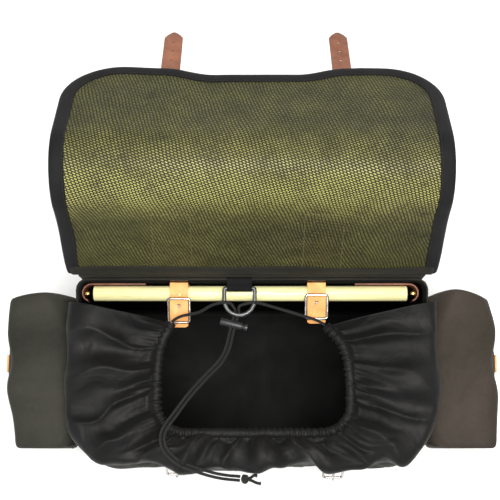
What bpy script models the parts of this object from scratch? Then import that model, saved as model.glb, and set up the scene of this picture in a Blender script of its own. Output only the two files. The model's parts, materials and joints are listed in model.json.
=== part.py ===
"""Canvas hunting backpack, standing open: lid folded back over the ridge, drawstring skirt closed loosely.

Metres, +Z up, +X to the wearer's left as seen from the front, +Y to the back. The origin is the
centre of the flat underside of the base panel. Every moving piece has its origin on its joint's axis.
"""

import math

import bmesh
import bpy
from mathutils import Matrix, Vector

# ---------------------------------------------------------------- driving dimensions
GAP = 0.0003  # clearance between neighbouring pieces
HALF_W = 0.183  # outer half width of the main bag
FRONT_Y = -0.100  # outer face of the front panel
BACK_Y = 0.091  # outer face of the back panel
WALL = 0.003
CORNER_R = 0.040
BASE_T = 0.004
RIM_Z = 0.262
BACK_TOP_Z = 0.268

DOWEL_R = 0.008
DOWEL_Y, DOWEL_Z = 0.0776, 0.250
DOWEL_X = (-0.1665, 0.1630)

STRAP_W = 0.0190  # three-quarter inch leather
STRAP_T = 0.0020
BAR_R = 0.0015  # buckle wire radius
FRAME_L = 0.0235  # heel bar to free bar
FRAME_HX = 0.01125  # half the width between the side rails' centrelines
CHAPE_T = 0.0018
CHAPE_HW = 0.0088  # half width of the folded leather that holds a buckle

LID_HINGE = (0.0, 0.0945, 0.2735)
LID_ANGLE = math.radians(72.0)  # of the open lid above the horizontal
LID_HALF_W = 0.181
LID_TOP_L = 0.196
LID_T = 0.0025
FLAP_L = 0.165
FLAP_SLOPE = math.radians(-38.0)
FLAP_CORNER = 0.055
BIND_W, BIND_T = 0.0130, 0.0052

DOWEL_STRAP_X = (-0.0764, 0.0675)
PATCH_W, PATCH_L = 0.041, 0.118
LID_STRAP_X = (-0.081, 0.089)
FRONT_BUCKLE_X = (-0.087, 0.094)
FRONT_BAR = (-0.1039, 0.1220)  # Y, Z of the front heel bars
FRONT_TILT = (math.radians(28.0), math.radians(38.0))

RING_X, RING_Y, RING_Z = -0.0130, 0.0815, 0.2640
RING_R, RING_HW, RING_LEN = 0.0021, 0.0159, 0.0284

LOCK_C = Vector((-0.0192, 0.0440, 0.2590))
LOCK_A = Vector((0.970, -0.243, 0.0)).normalized()  # along the barrel
LOCK_D = Vector((-0.243, -0.970, 0.0)).normalized()  # along the cords, away from the ring
CORD_R = 0.0015
CORD_STEP = 0.0038  # between the two strands

POCKET_Y = (-0.080, 0.075)
POCKET_X = (0.1836, 0.2620)
POCKET_Z = (0.010, 0.2140)
POCKET_T = 0.0025
POCKET_LID_Z = 0.2200
POCKET_LID_DROP = 0.080
POCKET_HINGE_X = 0.1885
POCKET_STRAP_Y = 0.008
POCKET_BAR_Z = 0.1080

SHOULDER_X = (0.062, 0.150)  # strap centres at the top and at the buckle
SHOULDER_BAR = (0.0949, 0.0300)
SHOULDER_TILT = math.radians(20.0)

# ---------------------------------------------------------------- scene and materials
for old in list(bpy.data.objects):
    bpy.data.objects.remove(old, do_unlink=True)

parts = bpy.data.collections.new("hunting_backpack")
bpy.context.scene.collection.children.link(parts)
cutters = bpy.data.collections.new("cutters")
cutters.hide_render = True
bpy.context.scene.collection.children.link(cutters)


def material(name, colour, roughness, metallic=0.0):
    mat = bpy.data.materials.new(name)
    mat.use_nodes = True
    bsdf = mat.node_tree.nodes["Principled BSDF"]
    bsdf.inputs["Base Color"].default_value = (*colour, 1.0)
    bsdf.inputs["Roughness"].default_value = roughness
    bsdf.inputs["Metallic"].default_value = metallic
    mat.diffuse_color = (*colour, 1.0)
    return mat


CANVAS = ("canvas", (0.067, 0.066, 0.050), 0.90, 0.0)
LID = ("lid_canvas", (0.120, 0.115, 0.030), 0.80, 0.0)
LINER = ("skirt_cloth", (0.030, 0.030, 0.029), 0.85, 0.0)
POCKET_R = ("pocket_canvas", (0.098, 0.072, 0.057), 0.90, 0.0)
BINDING = ("binding", (0.012, 0.012, 0.012), 0.80, 0.0)
LEATHER = ("leather", (0.520, 0.270, 0.090), 0.55, 0.0)
DARK_LEATHER = ("dark_leather", (0.200, 0.070, 0.035), 0.55, 0.0)
STEEL = ("nickel", (0.620, 0.600, 0.580), 0.22, 1.0)
WOOD = ("dowel_wood", (0.800, 0.740, 0.560), 0.50, 0.0)
CORD = ("cord", (0.015, 0.015, 0.015), 0.70, 0.0)
PLASTIC = ("lock_plastic", (0.050, 0.050, 0.052), 0.40, 0.0)


def finish(obj, look):
    colour_name, colour, rough, metal = look
    obj.data.materials.clear()
    obj.data.materials.append(material(f"{obj.name}_{colour_name}", colour, rough, metal))
    parts.objects.link(obj)
    return obj


def to_object(bm, name, look, origin=None):
    """The bmesh as a named node whose object origin is at origin."""
    bmesh.ops.recalc_face_normals(bm, faces=bm.faces)
    if origin is not None:
        bmesh.ops.translate(bm, verts=bm.verts, vec=-Vector(origin))
    mesh = bpy.data.meshes.new(name)
    bm.to_mesh(mesh)
    bm.free()
    obj = bpy.data.objects.new(name, mesh)
    if origin is not None:
        obj.location = origin
    return finish(obj, look)


def set_origin(obj, origin):
    """Moves a node's origin onto its joint's axis, leaving its shape where it is."""
    offset = Vector(origin) - obj.location
    obj.data.transform(Matrix.Translation(-offset))
    obj.location = Vector(origin)


def cube_bm(low, high, matrix=None):
    bm = bmesh.new()
    bmesh.ops.create_cube(bm, size=1.0)
    low, high = Vector(low), Vector(high)
    size, mid = high - low, (high + low) / 2
    for v in bm.verts:
        v.co = Vector((v.co.x * size.x, v.co.y * size.y, v.co.z * size.z)) + mid
    if matrix is not None:
        bmesh.ops.transform(bm, matrix=matrix, verts=bm.verts)
    return bm


def add_bevel(obj, width, segments=2, angle=40.0):
    mod = obj.modifiers.new("bevel", "BEVEL")
    mod.width = width
    mod.segments = segments
    mod.limit_method = "ANGLE"
    mod.angle_limit = math.radians(angle)
    return obj


def cutter(bm, name):
    bmesh.ops.recalc_face_normals(bm, faces=bm.faces)
    mesh = bpy.data.meshes.new(name)
    bm.to_mesh(mesh)
    bm.free()
    obj = bpy.data.objects.new(name, mesh)
    obj.display_type = "WIRE"
    obj.hide_render = True
    cutters.objects.link(obj)
    return obj


def boolean(obj, tool, operation="DIFFERENCE"):
    mod = obj.modifiers.new(tool.name, "BOOLEAN")
    mod.operation = operation
    mod.solver = "EXACT"
    mod.object = tool
    return obj


def cut_box(obj, name, low, high, matrix=None):
    return boolean(obj, cutter(cube_bm(low, high, matrix), name))


def cut_hole(obj, name, centre, axis, radius, length, segments=14):
    bm = bmesh.new()
    bmesh.ops.create_cone(
        bm, cap_ends=True, segments=segments, radius1=radius, radius2=radius, depth=length
    )
    turn = Vector((0, 0, 1)).rotation_difference(Vector(axis)).to_matrix().to_4x4()
    bmesh.ops.transform(bm, matrix=Matrix.Translation(centre) @ turn, verts=bm.verts)
    return boolean(obj, cutter(bm, name))


def prism_bm(outline, low, high):
    """A flat outline, filled as a 2D curve and extruded from low to high along Z."""
    curve = bpy.data.curves.new("outline", "CURVE")
    curve.dimensions = "2D"
    curve.fill_mode = "BOTH"
    curve.extrude = (high - low) / 2
    for ring in outline:
        spline = curve.splines.new("POLY")
        spline.points.add(len(ring) - 1)
        for point, (x, y) in zip(spline.points, ring):
            point.co = (x, y, 0.0, 1.0)
        spline.use_cyclic_u = True
    temp = bpy.data.objects.new("outline", curve)
    bpy.context.scene.collection.objects.link(temp)
    bpy.context.view_layer.update()
    mesh = bpy.data.meshes.new_from_object(
        temp.evaluated_get(bpy.context.evaluated_depsgraph_get())
    )
    bpy.data.objects.remove(temp, do_unlink=True)
    bpy.data.curves.remove(curve)
    bm = bmesh.new()
    bm.from_mesh(mesh)
    bpy.data.meshes.remove(mesh)
    bmesh.ops.remove_doubles(bm, verts=bm.verts, dist=0.00001)
    bmesh.ops.translate(bm, verts=bm.verts, vec=(0, 0, (low + high) / 2))
    return bm


def prism(name, outline, low, high, matrix, look, origin=None):
    bm = prism_bm(outline, low, high)
    bmesh.ops.transform(bm, matrix=matrix, verts=bm.verts)
    return to_object(bm, name, look, origin)


def tube(name, points, radius, look, cyclic=False, resolution=2, radii=None, origin=None):
    """A wire, cord or rail: a poly curve with a round bevel and filled ends, kept as a mesh."""
    curve = bpy.data.curves.new(name, "CURVE")
    curve.dimensions = "3D"
    curve.bevel_depth = radius
    curve.bevel_resolution = resolution
    curve.use_fill_caps = True
    curve.twist_mode = "MINIMUM"
    spline = curve.splines.new("POLY")
    spline.points.add(len(points) - 1)
    for i, (point, co) in enumerate(zip(spline.points, points)):
        point.co = (*co, 1.0)
        point.radius = 1.0 if radii is None else radii[i]
    spline.use_cyclic_u = cyclic
    temp = bpy.data.objects.new(name + "_curve", curve)
    bpy.context.scene.collection.objects.link(temp)
    bpy.context.view_layer.update()
    mesh = bpy.data.meshes.new_from_object(
        temp.evaluated_get(bpy.context.evaluated_depsgraph_get())
    )
    bpy.data.objects.remove(temp, do_unlink=True)
    bpy.data.curves.remove(curve)
    bm = bmesh.new()
    bm.from_mesh(mesh)
    bpy.data.meshes.remove(mesh)
    bmesh.ops.remove_doubles(bm, verts=bm.verts, dist=0.00001)
    return to_object(bm, name, look, origin)


def sheet(name, rows, thickness, look, origin=None):
    """Cloth or leather: a grid laid over the given rows of points, thickened on both sides."""
    count, across = len(rows), len(rows[0])
    bm = bmesh.new()
    bmesh.ops.create_grid(bm, x_segments=across - 1, y_segments=count - 1, size=1.0)
    bm.verts.ensure_lookup_table()
    flat = [point for row in rows for point in row]
    for v, co in zip(bm.verts, flat):
        v.co = co
    obj = to_object(bm, name, look, origin)
    mod = obj.modifiers.new("thickness", "SOLIDIFY")
    mod.thickness = thickness
    mod.offset = 0.0
    mod.use_even_offset = True
    mod.use_quality_normals = True
    return obj


def smooth_path(points, per=4):
    """Catmull-Rom points through the given ones."""
    points = [Vector(p) for p in points]
    out = []
    for i in range(len(points) - 1):
        p0 = points[i - 1] if i else points[0] * 2 - points[1]
        p1, p2 = points[i], points[i + 1]
        p3 = points[i + 2] if i + 2 < len(points) else p2 * 2 - p1
        for k in range(per):
            t = k / per
            out.append(
                0.5
                * (
                    2 * p1
                    + (p2 - p0) * t
                    + (2 * p0 - 5 * p1 + 4 * p2 - p3) * t**2
                    + (3 * p1 - p0 - 3 * p2 + p3) * t**3
                )
            )
    out.append(points[-1])
    return out


def arc(cy, cz, radius, start, end, count):
    """Points of an arc in a plane, angles in degrees."""
    out = []
    for i in range(count):
        a = math.radians(start + (end - start) * i / (count - 1))
        out.append((cy + radius * math.cos(a), cz + radius * math.sin(a)))
    return out


def strap_rows(path, half_width, x, matrix=None, tip=None):
    """Rows across a strap whose centreline lies in the YZ plane; tip narrows the last rows."""
    rows = []
    for i, (y, z) in enumerate(path):
        half = half_width
        if tip and i in tip:
            half = tip[i]
        row = [Vector((x - half, y, z)), Vector((x + half, y, z))]
        if matrix is not None:
            row = [matrix @ p for p in row]
        rows.append(row)
    return rows


def local_matrix(origin, along, outward):
    """Buckle axes: X across the strap, Y from heel bar to free bar, Z outward."""
    along, outward = Vector(along).normalized(), Vector(outward).normalized()
    across = along.cross(outward)
    m = Matrix((across, along, outward)).transposed().to_4x4()
    m.translation = Vector(origin)
    return m


def rounded_rect(half_x, y0, y1, r, per=4):
    pts = []
    for cx, cy, a0 in (
        (half_x - r, y1 - r, 0),
        (-half_x + r, y1 - r, 90),
        (-half_x + r, y0 + r, 180),
        (half_x - r, y0 + r, 270),
    ):
        for i in range(per):
            a = math.radians(a0 + 90 * i / (per - 1))
            pts.append((cx + r * math.cos(a), cy + r * math.sin(a)))
    return pts


def buckle_frame(name, matrix, length, origin):
    """A rounded rectangle of nickel wire, its heel bar on the local X axis."""
    pts = [
        matrix @ Vector((x, y, 0.0))
        for x, y in rounded_rect(FRAME_HX, 0.0, length, 0.0024)
    ]
    return tube(name, pts, BAR_R, STEEL, cyclic=True, origin=origin)


def buckle_prong(name, matrix, origin):
    """A flat prong with its eye round the heel bar, resting on the free bar's outer side."""
    ring_in, ring_out, reach = BAR_R + GAP, 0.0030, FRAME_L + 0.0022
    low, top = BAR_R + GAP, 0.0040
    edge = math.asin(low / ring_out)
    outer = [(reach, low), (ring_out * math.cos(edge), low)]
    steps = 10
    for i in range(1, steps + 1):
        a = edge - (edge + 1.5 * math.pi) * i / steps
        outer.append((ring_out * math.cos(a), ring_out * math.sin(a)))
    outer += [(reach - 0.0016, top), (reach, top - 0.0009)]
    hole = [
        (ring_in * math.cos(a), ring_in * math.sin(a))
        for a in (2 * math.pi * i / 12 for i in range(12))
    ]
    # the outline lies in the local YZ plane, so its own Z turns onto local X
    turn = Matrix(((0, 0, 1, 0), (1, 0, 0, 0), (0, 1, 0, 0), (0, 0, 0, 1)))
    return prism(name, [outer, hole], -0.0013, 0.0013, matrix @ turn, STEEL, origin)


# ---------------------------------------------------------------- main bag
def wall_outline(inset, per=6):
    """Outline of the bag seen from above, moved inwards by inset."""
    r = CORNER_R - inset
    w, f, b = HALF_W - inset, FRONT_Y + inset, BACK_Y - inset
    pts = [(w, b), (-w, b)]
    for cx, a0 in ((-w + r, 180), (w - r, 270)):
        for i in range(per):
            a = math.radians(a0 + 90 * i / (per - 1))
            pts.append((cx + r * math.cos(a), f + r + r * math.sin(a)))
    return pts


prism("base_panel", [wall_outline(0.0)], 0.0, BASE_T, Matrix.Identity(4), CANVAS)

WALL_LOW = BASE_T + GAP
back = to_object(
    cube_bm((-HALF_W, BACK_Y - WALL, WALL_LOW), (HALF_W, BACK_Y, BACK_TOP_Z)),
    "back_panel",
    CANVAS,
)
for side, x in zip(("left", "right"), DOWEL_STRAP_X):
    for level, z in (("upper", DOWEL_Z + 0.0082), ("lower", DOWEL_Z - 0.0082)):
        cut_box(
            back,
            f"slot_{level}_{side}",
            (x - 0.0100, BACK_Y - 0.010, z - 0.0028),
            (x + 0.0100, BACK_Y + 0.010, z + 0.0028),
        )

SIDE_Y0 = FRONT_Y + CORNER_R + GAP
for side, s in (("left", -1), ("right", 1)):
    xs = sorted((s * HALF_W, s * (HALF_W - WALL)))
    to_object(
        cube_bm((xs[0], SIDE_Y0, WALL_LOW), (xs[1], BACK_Y - WALL - GAP, RIM_Z)),
        f"side_panel_{side}",
        CANVAS,
    )

mid = WALL / 2
front_path = [(-HALF_W + mid, FRONT_Y + CORNER_R)]
r_mid = CORNER_R - mid
for i in range(1, 7):
    a = math.radians(180 + 90 * i / 6)
    front_path.append(
        (-HALF_W + CORNER_R + r_mid * math.cos(a), FRONT_Y + CORNER_R + r_mid * math.sin(a))
    )
front_path += [(x, FRONT_Y + mid) for x in (-0.095, -0.048, 0.0, 0.048, 0.095)]
for i in range(0, 7):
    a = math.radians(270 + 90 * i / 6)
    front_path.append(
        (HALF_W - CORNER_R + r_mid * math.cos(a), FRONT_Y + CORNER_R + r_mid * math.sin(a))
    )
sheet(
    "front_panel",
    [[Vector((x, y, z)) for x, y in front_path] for z in (WALL_LOW, RIM_Z)],
    WALL,
    CANVAS,
)

# ---------------------------------------------------------------- drawstring skirt and its channel
HEM_Z = 0.2770
CHANNEL_R, CHANNEL_IN = 0.0048, 0.0022
HEM_X0, HEM_X1, HEM_FRONT_Y, HEM_R = -0.0965, 0.0995, -0.0670, 0.0300
RIM_STATIONS, HEM_STATIONS, OUTWARD = [], [], []
for t in (0.0, 0.25, 0.5, 0.75, 1.0):
    y = 0.0655 + (FRONT_Y + CORNER_R - 0.0655) * t
    RIM_STATIONS.append((-HALF_W, y))
    OUTWARD.append((-1.0, 0.0))
for i in range(1, 6):
    a = math.radians(180 + 90 * i / 6)
    RIM_STATIONS.append(
        (-HALF_W + CORNER_R + CORNER_R * math.cos(a), FRONT_Y + CORNER_R + CORNER_R * math.sin(a))
    )
    OUTWARD.append((math.cos(a), math.sin(a)))
FRONT_XS = (-0.143, -0.107, -0.0715, -0.036, 0.0, 0.036, 0.0715, 0.107, 0.143)
for x in FRONT_XS:
    RIM_STATIONS.append((x, FRONT_Y))
    OUTWARD.append((0.0, -1.0))
for i in range(1, 6):
    a = math.radians(270 + 90 * i / 6)
    RIM_STATIONS.append(
        (HALF_W - CORNER_R + CORNER_R * math.cos(a), FRONT_Y + CORNER_R + CORNER_R * math.sin(a))
    )
    OUTWARD.append((math.cos(a), math.sin(a)))
for t in (0.0, 0.25, 0.5, 0.75, 1.0):
    y = FRONT_Y + CORNER_R + (0.0655 - FRONT_Y - CORNER_R) * t
    RIM_STATIONS.append((HALF_W, y))
    OUTWARD.append((1.0, 0.0))

HEM_STATIONS += [(-0.0820, 0.0440), (-0.0915, 0.0250), (-0.0955, 0.0050), (-0.0965, -0.0160), (-0.0965, -0.0370)]
for i in range(1, 6):
    a = math.radians(180 + 90 * i / 6)
    HEM_STATIONS.append((HEM_X0 + HEM_R * (1 + math.cos(a)), HEM_FRONT_Y + HEM_R * (1 + math.sin(a))))
for i in range(9):
    HEM_STATIONS.append((HEM_X0 + HEM_R + (HEM_X1 - HEM_X0 - 2 * HEM_R) * i / 8, HEM_FRONT_Y))
for i in range(1, 6):
    a = math.radians(270 + 90 * i / 6)
    HEM_STATIONS.append((HEM_X1 - HEM_R + HEM_R * math.cos(a), HEM_FRONT_Y + HEM_R * (1 + math.sin(a))))
HEM_STATIONS += [(0.0995, -0.0370), (0.0995, -0.0160), (0.0970, 0.0050), (0.0905, 0.0240), (0.0750, 0.0410)]

SKIRT_T = 0.0025
# share of the way from rim to hem, height, and how far it stands out past the rim
SKIRT_ROWS = (
    (0.0, 0.2440, 0.0016),
    (0.0, 0.2570, 0.0016),
    (0.0, 0.2680, 0.0050),
    (0.0, 0.2790, 0.0060),
    (0.06, 0.2870, 0.0040),
    (0.22, 0.2905, 0.0),
    (0.45, 0.2895, 0.0),
    (0.70, 0.2850, 0.0),
    (1.0, HEM_Z, 0.0),
)
rows = []
for k, (share, z, out) in enumerate(SKIRT_ROWS):
    row = []
    for (rx, ry), (hx, hy), (ox, oy) in zip(RIM_STATIONS, HEM_STATIONS, OUTWARD):
        if k == len(SKIRT_ROWS) - 1:
            # the last row stops short of the channel
            stop = CHANNEL_R + GAP + 0.0010
            row.append(Vector((hx + ox * stop, hy + oy * stop, z + 0.0010)))
        else:
            row.append(
                Vector((rx + (hx - rx) * share + ox * out, ry + (hy - ry) * share + oy * out, z))
            )
    rows.append(row)
sheet("drawstring_skirt", rows, SKIRT_T, LINER)

channel_path = [Vector((x, y, HEM_Z)) for x, y in HEM_STATIONS]
channel = tube("hem_channel", channel_path, CHANNEL_R, LINER, resolution=2)
first, last = channel_path[0], channel_path[-1]
first_dir = (channel_path[0] - channel_path[1]).normalized()
last_dir = (channel_path[-1] - channel_path[-2]).normalized()
bore_path = [first + first_dir * 0.004] + channel_path + [last + last_dir * 0.004]
bore = tube("hem_bore", bore_path, CHANNEL_IN, LINER, resolution=1)
parts.objects.unlink(bore)
cutters.objects.link(bore)
bore.display_type = "WIRE"
bore.hide_render = True
boolean(channel, bore)

# ---------------------------------------------------------------- drawcord
ring_far = Vector((RING_X - 0.0036, RING_Y - RING_LEN, RING_Z))


def strand(shift):
    """Where one strand runs from the ring's far bar to past the lock."""
    off = LOCK_A * shift
    under = Vector((ring_far.x, ring_far.y, RING_Z - RING_R - CORD_R - 0.0005)) + off
    return [
        under + LOCK_D * -0.0045,
        under + LOCK_D * 0.0010,
        LOCK_C + off - LOCK_D * 0.0048,
        LOCK_C + off,
        LOCK_C + off + LOCK_D * 0.0120,
        LOCK_C + off + LOCK_D * 0.0260,
    ]


# the pulled-out double strand, from the lock over the skirt to the knot
PULL_ROUTE = (
    (-0.0330, 0.0050, 0.2600),
    (-0.0480, -0.0110, 0.2650),
    (-0.0640, -0.0300, 0.2760),
    (-0.0765, -0.0480, 0.2868),
    (-0.0850, -0.0600, 0.2925),
    (-0.0885, -0.0690, 0.2945),
    (-0.0875, -0.0790, 0.2950),
    (-0.0815, -0.0880, 0.2948),
    (-0.0700, -0.0965, 0.2937),
    (-0.0560, -0.1020, 0.2922),
    (-0.0400, -0.1070, 0.2888),
    (-0.0260, -0.1098, 0.2850),
    (-0.0120, -0.1112, 0.2822),
)


def doubled(route, shift):
    out = []
    for i, p in enumerate(route):
        a = Vector(route[max(i - 1, 0)])
        b = Vector(route[min(i + 1, len(route) - 1)])
        d = (b - a).normalized()
        side = d.cross(Vector((0, 0, 1))).normalized()
        out.append(Vector(p) + side * shift)
    return out


def clean(points, least=0.0012):
    out = [points[0]]
    for p in points[1:]:
        if (p - out[-1]).length > least:
            out.append(p)
    return out


for side, s in (("left", -1), ("right", 1)):
    shift = s * CORD_STEP / 2
    hem = channel_path[0] if s < 0 else channel_path[-1]
    out_dir = first_dir if s < 0 else last_dir
    rod_x = RING_X + s * RING_HW
    start = hem + out_dir * (GAP + 0.0002)
    route = [
        start,
        start + out_dir * 0.0030 + Vector((-s * 0.0010, 0, 0)),
        hem + Vector((-s * 0.0110, 0.0072 if s < 0 else 0.0064, -0.0005)),
        Vector((s * 0.055, 0.0548 if s < 0 else 0.0505, 0.2745)),
        Vector((rod_x + s * 0.012, 0.0630, RING_Z + 0.0060)),
        Vector((rod_x, 0.0660, RING_Z + RING_R + CORD_R + 0.0007)),
        Vector((rod_x - s * 0.0058, 0.0655, RING_Z + 0.0026)),
        Vector((ring_far.x + s * 0.0035, 0.0628, RING_Z - 0.0010)),
    ]
    lane = [Vector(p) for p in strand(shift)]
    # the pulled strands lie side by side, so the route's side offset keeps the lanes' order
    tail = doubled(PULL_ROUTE, -shift)
    route = clean(smooth_path(route + lane + tail, 3), 0.0016)
    tube(f"drawcord_{side}", route, CORD_R, CORD, resolution=1)

hidden = [first + (channel_path[1] - first).normalized() * 0.0004] + channel_path[1:-1]
hidden.append(last - last_dir * 0.0004)
tube("drawcord_hem_run", hidden, CORD_R, CORD, resolution=1)

end = Vector(PULL_ROUTE[-1])
pull_dir = (end - Vector(PULL_ROUTE[-2])).normalized()
knot_c = end + pull_dir * 0.0050
bm = bmesh.new()
bmesh.ops.create_uvsphere(bm, u_segments=12, v_segments=8, radius=1.0)
turn = Vector((1, 0, 0)).rotation_difference(pull_dir).to_matrix().to_4x4()
bmesh.ops.transform(
    bm,
    matrix=Matrix.Translation(knot_c) @ turn @ Matrix.Diagonal((0.0045, 0.0038, 0.0036, 1.0)),
    verts=bm.verts,
)
to_object(bm, "drawcord_knot", CORD)

# ---------------------------------------------------------------- D-ring and its tab
ring_pts = [
    (RING_HW, 0.0),
    (RING_HW, -0.0125),
]
for i in range(1, 9):
    a = math.radians(-180 * i / 9)
    ring_pts.append((RING_HW * math.cos(a), -0.0125 + 0.0159 * math.sin(a)))
ring_pts += [(-RING_HW, -0.0125), (-RING_HW, 0.0)]
corner = 0.0022
ring_line = (
    [(RING_HW - corner, 0.0), (RING_HW - 0.0006, -0.0006), (RING_HW, -corner)]
    + ring_pts[1:-1]
    + [(-RING_HW, -corner), (-RING_HW + 0.0006, -0.0006), (-RING_HW + corner, 0.0)]
)
tube(
    "d_ring",
    [Vector((RING_X + x, RING_Y + y, RING_Z)) for x, y in ring_line],
    RING_R,
    STEEL,
    cyclic=True,
    origin=(RING_X, RING_Y, RING_Z),
)

TAB_T = 0.0014
hold = RING_R + GAP + TAB_T / 2
sheet(
    "d_ring_tab",
    strap_rows(
        [(0.0924, 0.2250), (0.0924, 0.2660), (0.0921, 0.2686), (0.0902, 0.2702)]
        + [(0.0870, 0.2700), (0.0846, 0.2688)]
        + arc(RING_Y, RING_Z, hold, 70, 270, 10)
        + [(0.0850, 0.2613), (0.0866, 0.2600)],
        0.0132,
        RING_X,
    ),
    TAB_T,
    BINDING,
)

# ---------------------------------------------------------------- dowel, its end loops and its buckled straps
bm = bmesh.new()
bmesh.ops.create_cone(
    bm,
    cap_ends=True,
    segments=28,
    radius1=DOWEL_R,
    radius2=DOWEL_R,
    depth=DOWEL_X[1] - DOWEL_X[0],
)
bmesh.ops.transform(
    bm,
    matrix=Matrix.Translation(((DOWEL_X[0] + DOWEL_X[1]) / 2, DOWEL_Y, DOWEL_Z))
    @ Matrix.Rotation(math.pi / 2, 4, "Y"),
    verts=bm.verts,
)
add_bevel(to_object(bm, "dowel", WOOD), 0.0010, 2, 60)

LOOP_T = 0.0016
for side, s, end_x in (("left", -1, DOWEL_X[0]), ("right", 1, DOWEL_X[1])):
    back_y = DOWEL_Y + DOWEL_R + GAP + LOOP_T / 2
    r_loop = DOWEL_R + GAP + LOOP_T / 2
    centre_x = end_x + s * 0.0018
    path = [(end_x - s * 0.0550, back_y), (end_x - s * 0.0250, back_y), (centre_x, back_y)]
    for i in range(1, 9):
        angle = math.radians(90 + (-s) * 20 * i)
        path.append((centre_x + r_loop * math.cos(angle), DOWEL_Y + r_loop * math.sin(angle)))
    sheet(
        f"dowel_end_loop_{side}",
        [[Vector((x, y, DOWEL_Z - 0.0080)), Vector((x, y, DOWEL_Z + 0.0080))] for x, y in path],
        LOOP_T,
        DARK_LEATHER,
    )

DS_T = 0.0016
DF_L = 0.0250
DS_HOLES = (0.0175, 0.0168)
TOP_BARS = ((0.0709, 0.2598), (0.0747, 0.2614))
TILTS = (math.radians(15.0), math.radians(15.0))
for n, (side, x) in enumerate(zip(("left", "right"), DOWEL_STRAP_X)):
    ty, tz = TOP_BARS[n]
    c, s = math.cos(TILTS[n]), math.sin(TILTS[n])
    # local frame: Y runs from the front bar to the bar beside the dowel
    m = local_matrix((x, ty - DF_L * c, tz - DF_L * s), (0, c, s), (0, -s, c))

    def place(y, z):
        p = m @ Vector((0, y, z))
        return (p.y, p.z)

    over = -(BAR_R + GAP + DS_T / 2)
    under = over - DS_T - GAP
    r_over = DOWEL_R + GAP + DS_T / 2
    start = math.degrees(
        math.atan2(place(DF_L, over)[1] - DOWEL_Z, place(DF_L, over)[0] - DOWEL_Y)
    )
    out_y = BACK_Y + GAP + DS_T / 2
    path = [place(-0.0055, over), place(-0.0040, over), place(0.0, over), place(0.010, over)]
    path += [place(DF_L - 0.004, over)]
    path += arc(DOWEL_Y, DOWEL_Z, r_over, min(start, 142.0), 90, 7)
    path += [(0.0885, DOWEL_Z + r_over), (0.0908, DOWEL_Z + r_over - 0.0006)]
    path += [(out_y - 0.0001, DOWEL_Z + r_over - 0.0022), (out_y, DOWEL_Z + 0.0050)]
    path += [(out_y, DOWEL_Z - 0.0050), (out_y - 0.0001, DOWEL_Z - r_over + 0.0022)]
    path += [(0.0908, DOWEL_Z - r_over + 0.0006), (0.0885, DOWEL_Z - r_over)]
    path += arc(DOWEL_Y, DOWEL_Z, r_over, 270, 200, 6)
    path += [place(0.0110, under - 0.0006), place(0.0060, under), place(-0.0020, under)]
    strap = sheet(
        f"dowel_strap_{side}",
        strap_rows(path, STRAP_W / 2, x, tip={0: 0.0070}),
        DS_T,
        LEATHER,
    )
    hole_y = DS_HOLES[n]
    at = m @ Vector((0, hole_y, over))
    cut_hole(strap, f"strap_hole_a_{side}", at, m.col[2].xyz, 0.0017, 0.0030)
    a = math.radians(104.0)
    at = Vector((x + 0.0008, DOWEL_Y + r_over * math.cos(a), DOWEL_Z + r_over * math.sin(a)))
    cut_hole(strap, f"strap_hole_b_{side}", at, (0, math.cos(a), math.sin(a)), 0.0014, 0.0030)

    # the adjuster buckle: a wire frame with a fixed stud on a bar that bends under the strap
    buckle = buckle_frame(f"dowel_buckle_{side}", m, DF_L, None)
    low = over - DS_T / 2 - GAP - 0.0011
    bar = [
        (-FRAME_HX, hole_y, 0.0),
        (-FRAME_HX + 0.0001, hole_y, low * 0.82),
        (-FRAME_HX + 0.0011, hole_y, low),
        (FRAME_HX - 0.0011, hole_y, low),
        (FRAME_HX - 0.0001, hole_y, low * 0.82),
        (FRAME_HX, hole_y, 0.0),
    ]
    cross = tube("stud_bar_" + side, [m @ Vector(p) for p in bar], 0.0010, STEEL)
    stud = tube(
        "stud_" + side,
        [m @ Vector((0, hole_y, low)), m @ Vector((0, hole_y, -0.0006))],
        0.0011,
        STEEL,
    )
    for tool in (cross, stud):
        parts.objects.unlink(tool)
        cutters.objects.link(tool)
        tool.display_type = "WIRE"
        tool.hide_render = True
        boolean(buckle, tool, "UNION")

# ---------------------------------------------------------------- cord lock
lock_m = Matrix((LOCK_A, LOCK_D, LOCK_A.cross(LOCK_D))).transposed().to_4x4()
lock_m.translation = LOCK_C
BARREL_R, BORE_R, PLUNGER_R = 0.0041, 0.0029, 0.0026


def lock_cylinder(a0, a1, radius, segments=20):
    bm = bmesh.new()
    bmesh.ops.create_cone(
        bm, cap_ends=True, segments=segments, radius1=radius, radius2=radius, depth=a1 - a0
    )
    bmesh.ops.transform(
        bm,
        matrix=lock_m
        @ Matrix.Translation(((a0 + a1) / 2, 0, 0))
        @ Matrix.Rotation(math.pi / 2, 4, "Y"),
        verts=bm.verts,
    )
    return bm


barrel = to_object(lock_cylinder(-0.0140, 0.0090, BARREL_R), "cord_lock_barrel", PLASTIC)
boolean(barrel, cutter(lock_cylinder(-0.0124, 0.0100, BORE_R), "barrel_bore"))
cut_box(barrel, "barrel_slot", (-0.0040, -0.010, -0.0018), (0.0040, 0.010, 0.0018), lock_m)
plunger = to_object(lock_cylinder(-0.0062, 0.0124, PLUNGER_R), "cord_lock_plunger", PLASTIC)
boolean(plunger, cutter(lock_cylinder(0.0118, 0.0148, BARREL_R - 0.0003), "plunger_knob"), "UNION")
cut_box(plunger, "plunger_slot", (-0.0039, -0.010, -0.0018), (0.0068, 0.010, 0.0018), lock_m)
turns, per_turn = 4, 10
spring = []
for i in range(turns * per_turn + 1):
    a = 2 * math.pi * i / per_turn
    along = -0.0119 + (0.0119 - 0.0067) * i / (turns * per_turn)
    spring.append(lock_m @ Vector((along, 0.0019 * math.cos(a), 0.0019 * math.sin(a))))
tube("cord_lock_spring", spring, 0.00025, STEEL, resolution=1)

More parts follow.
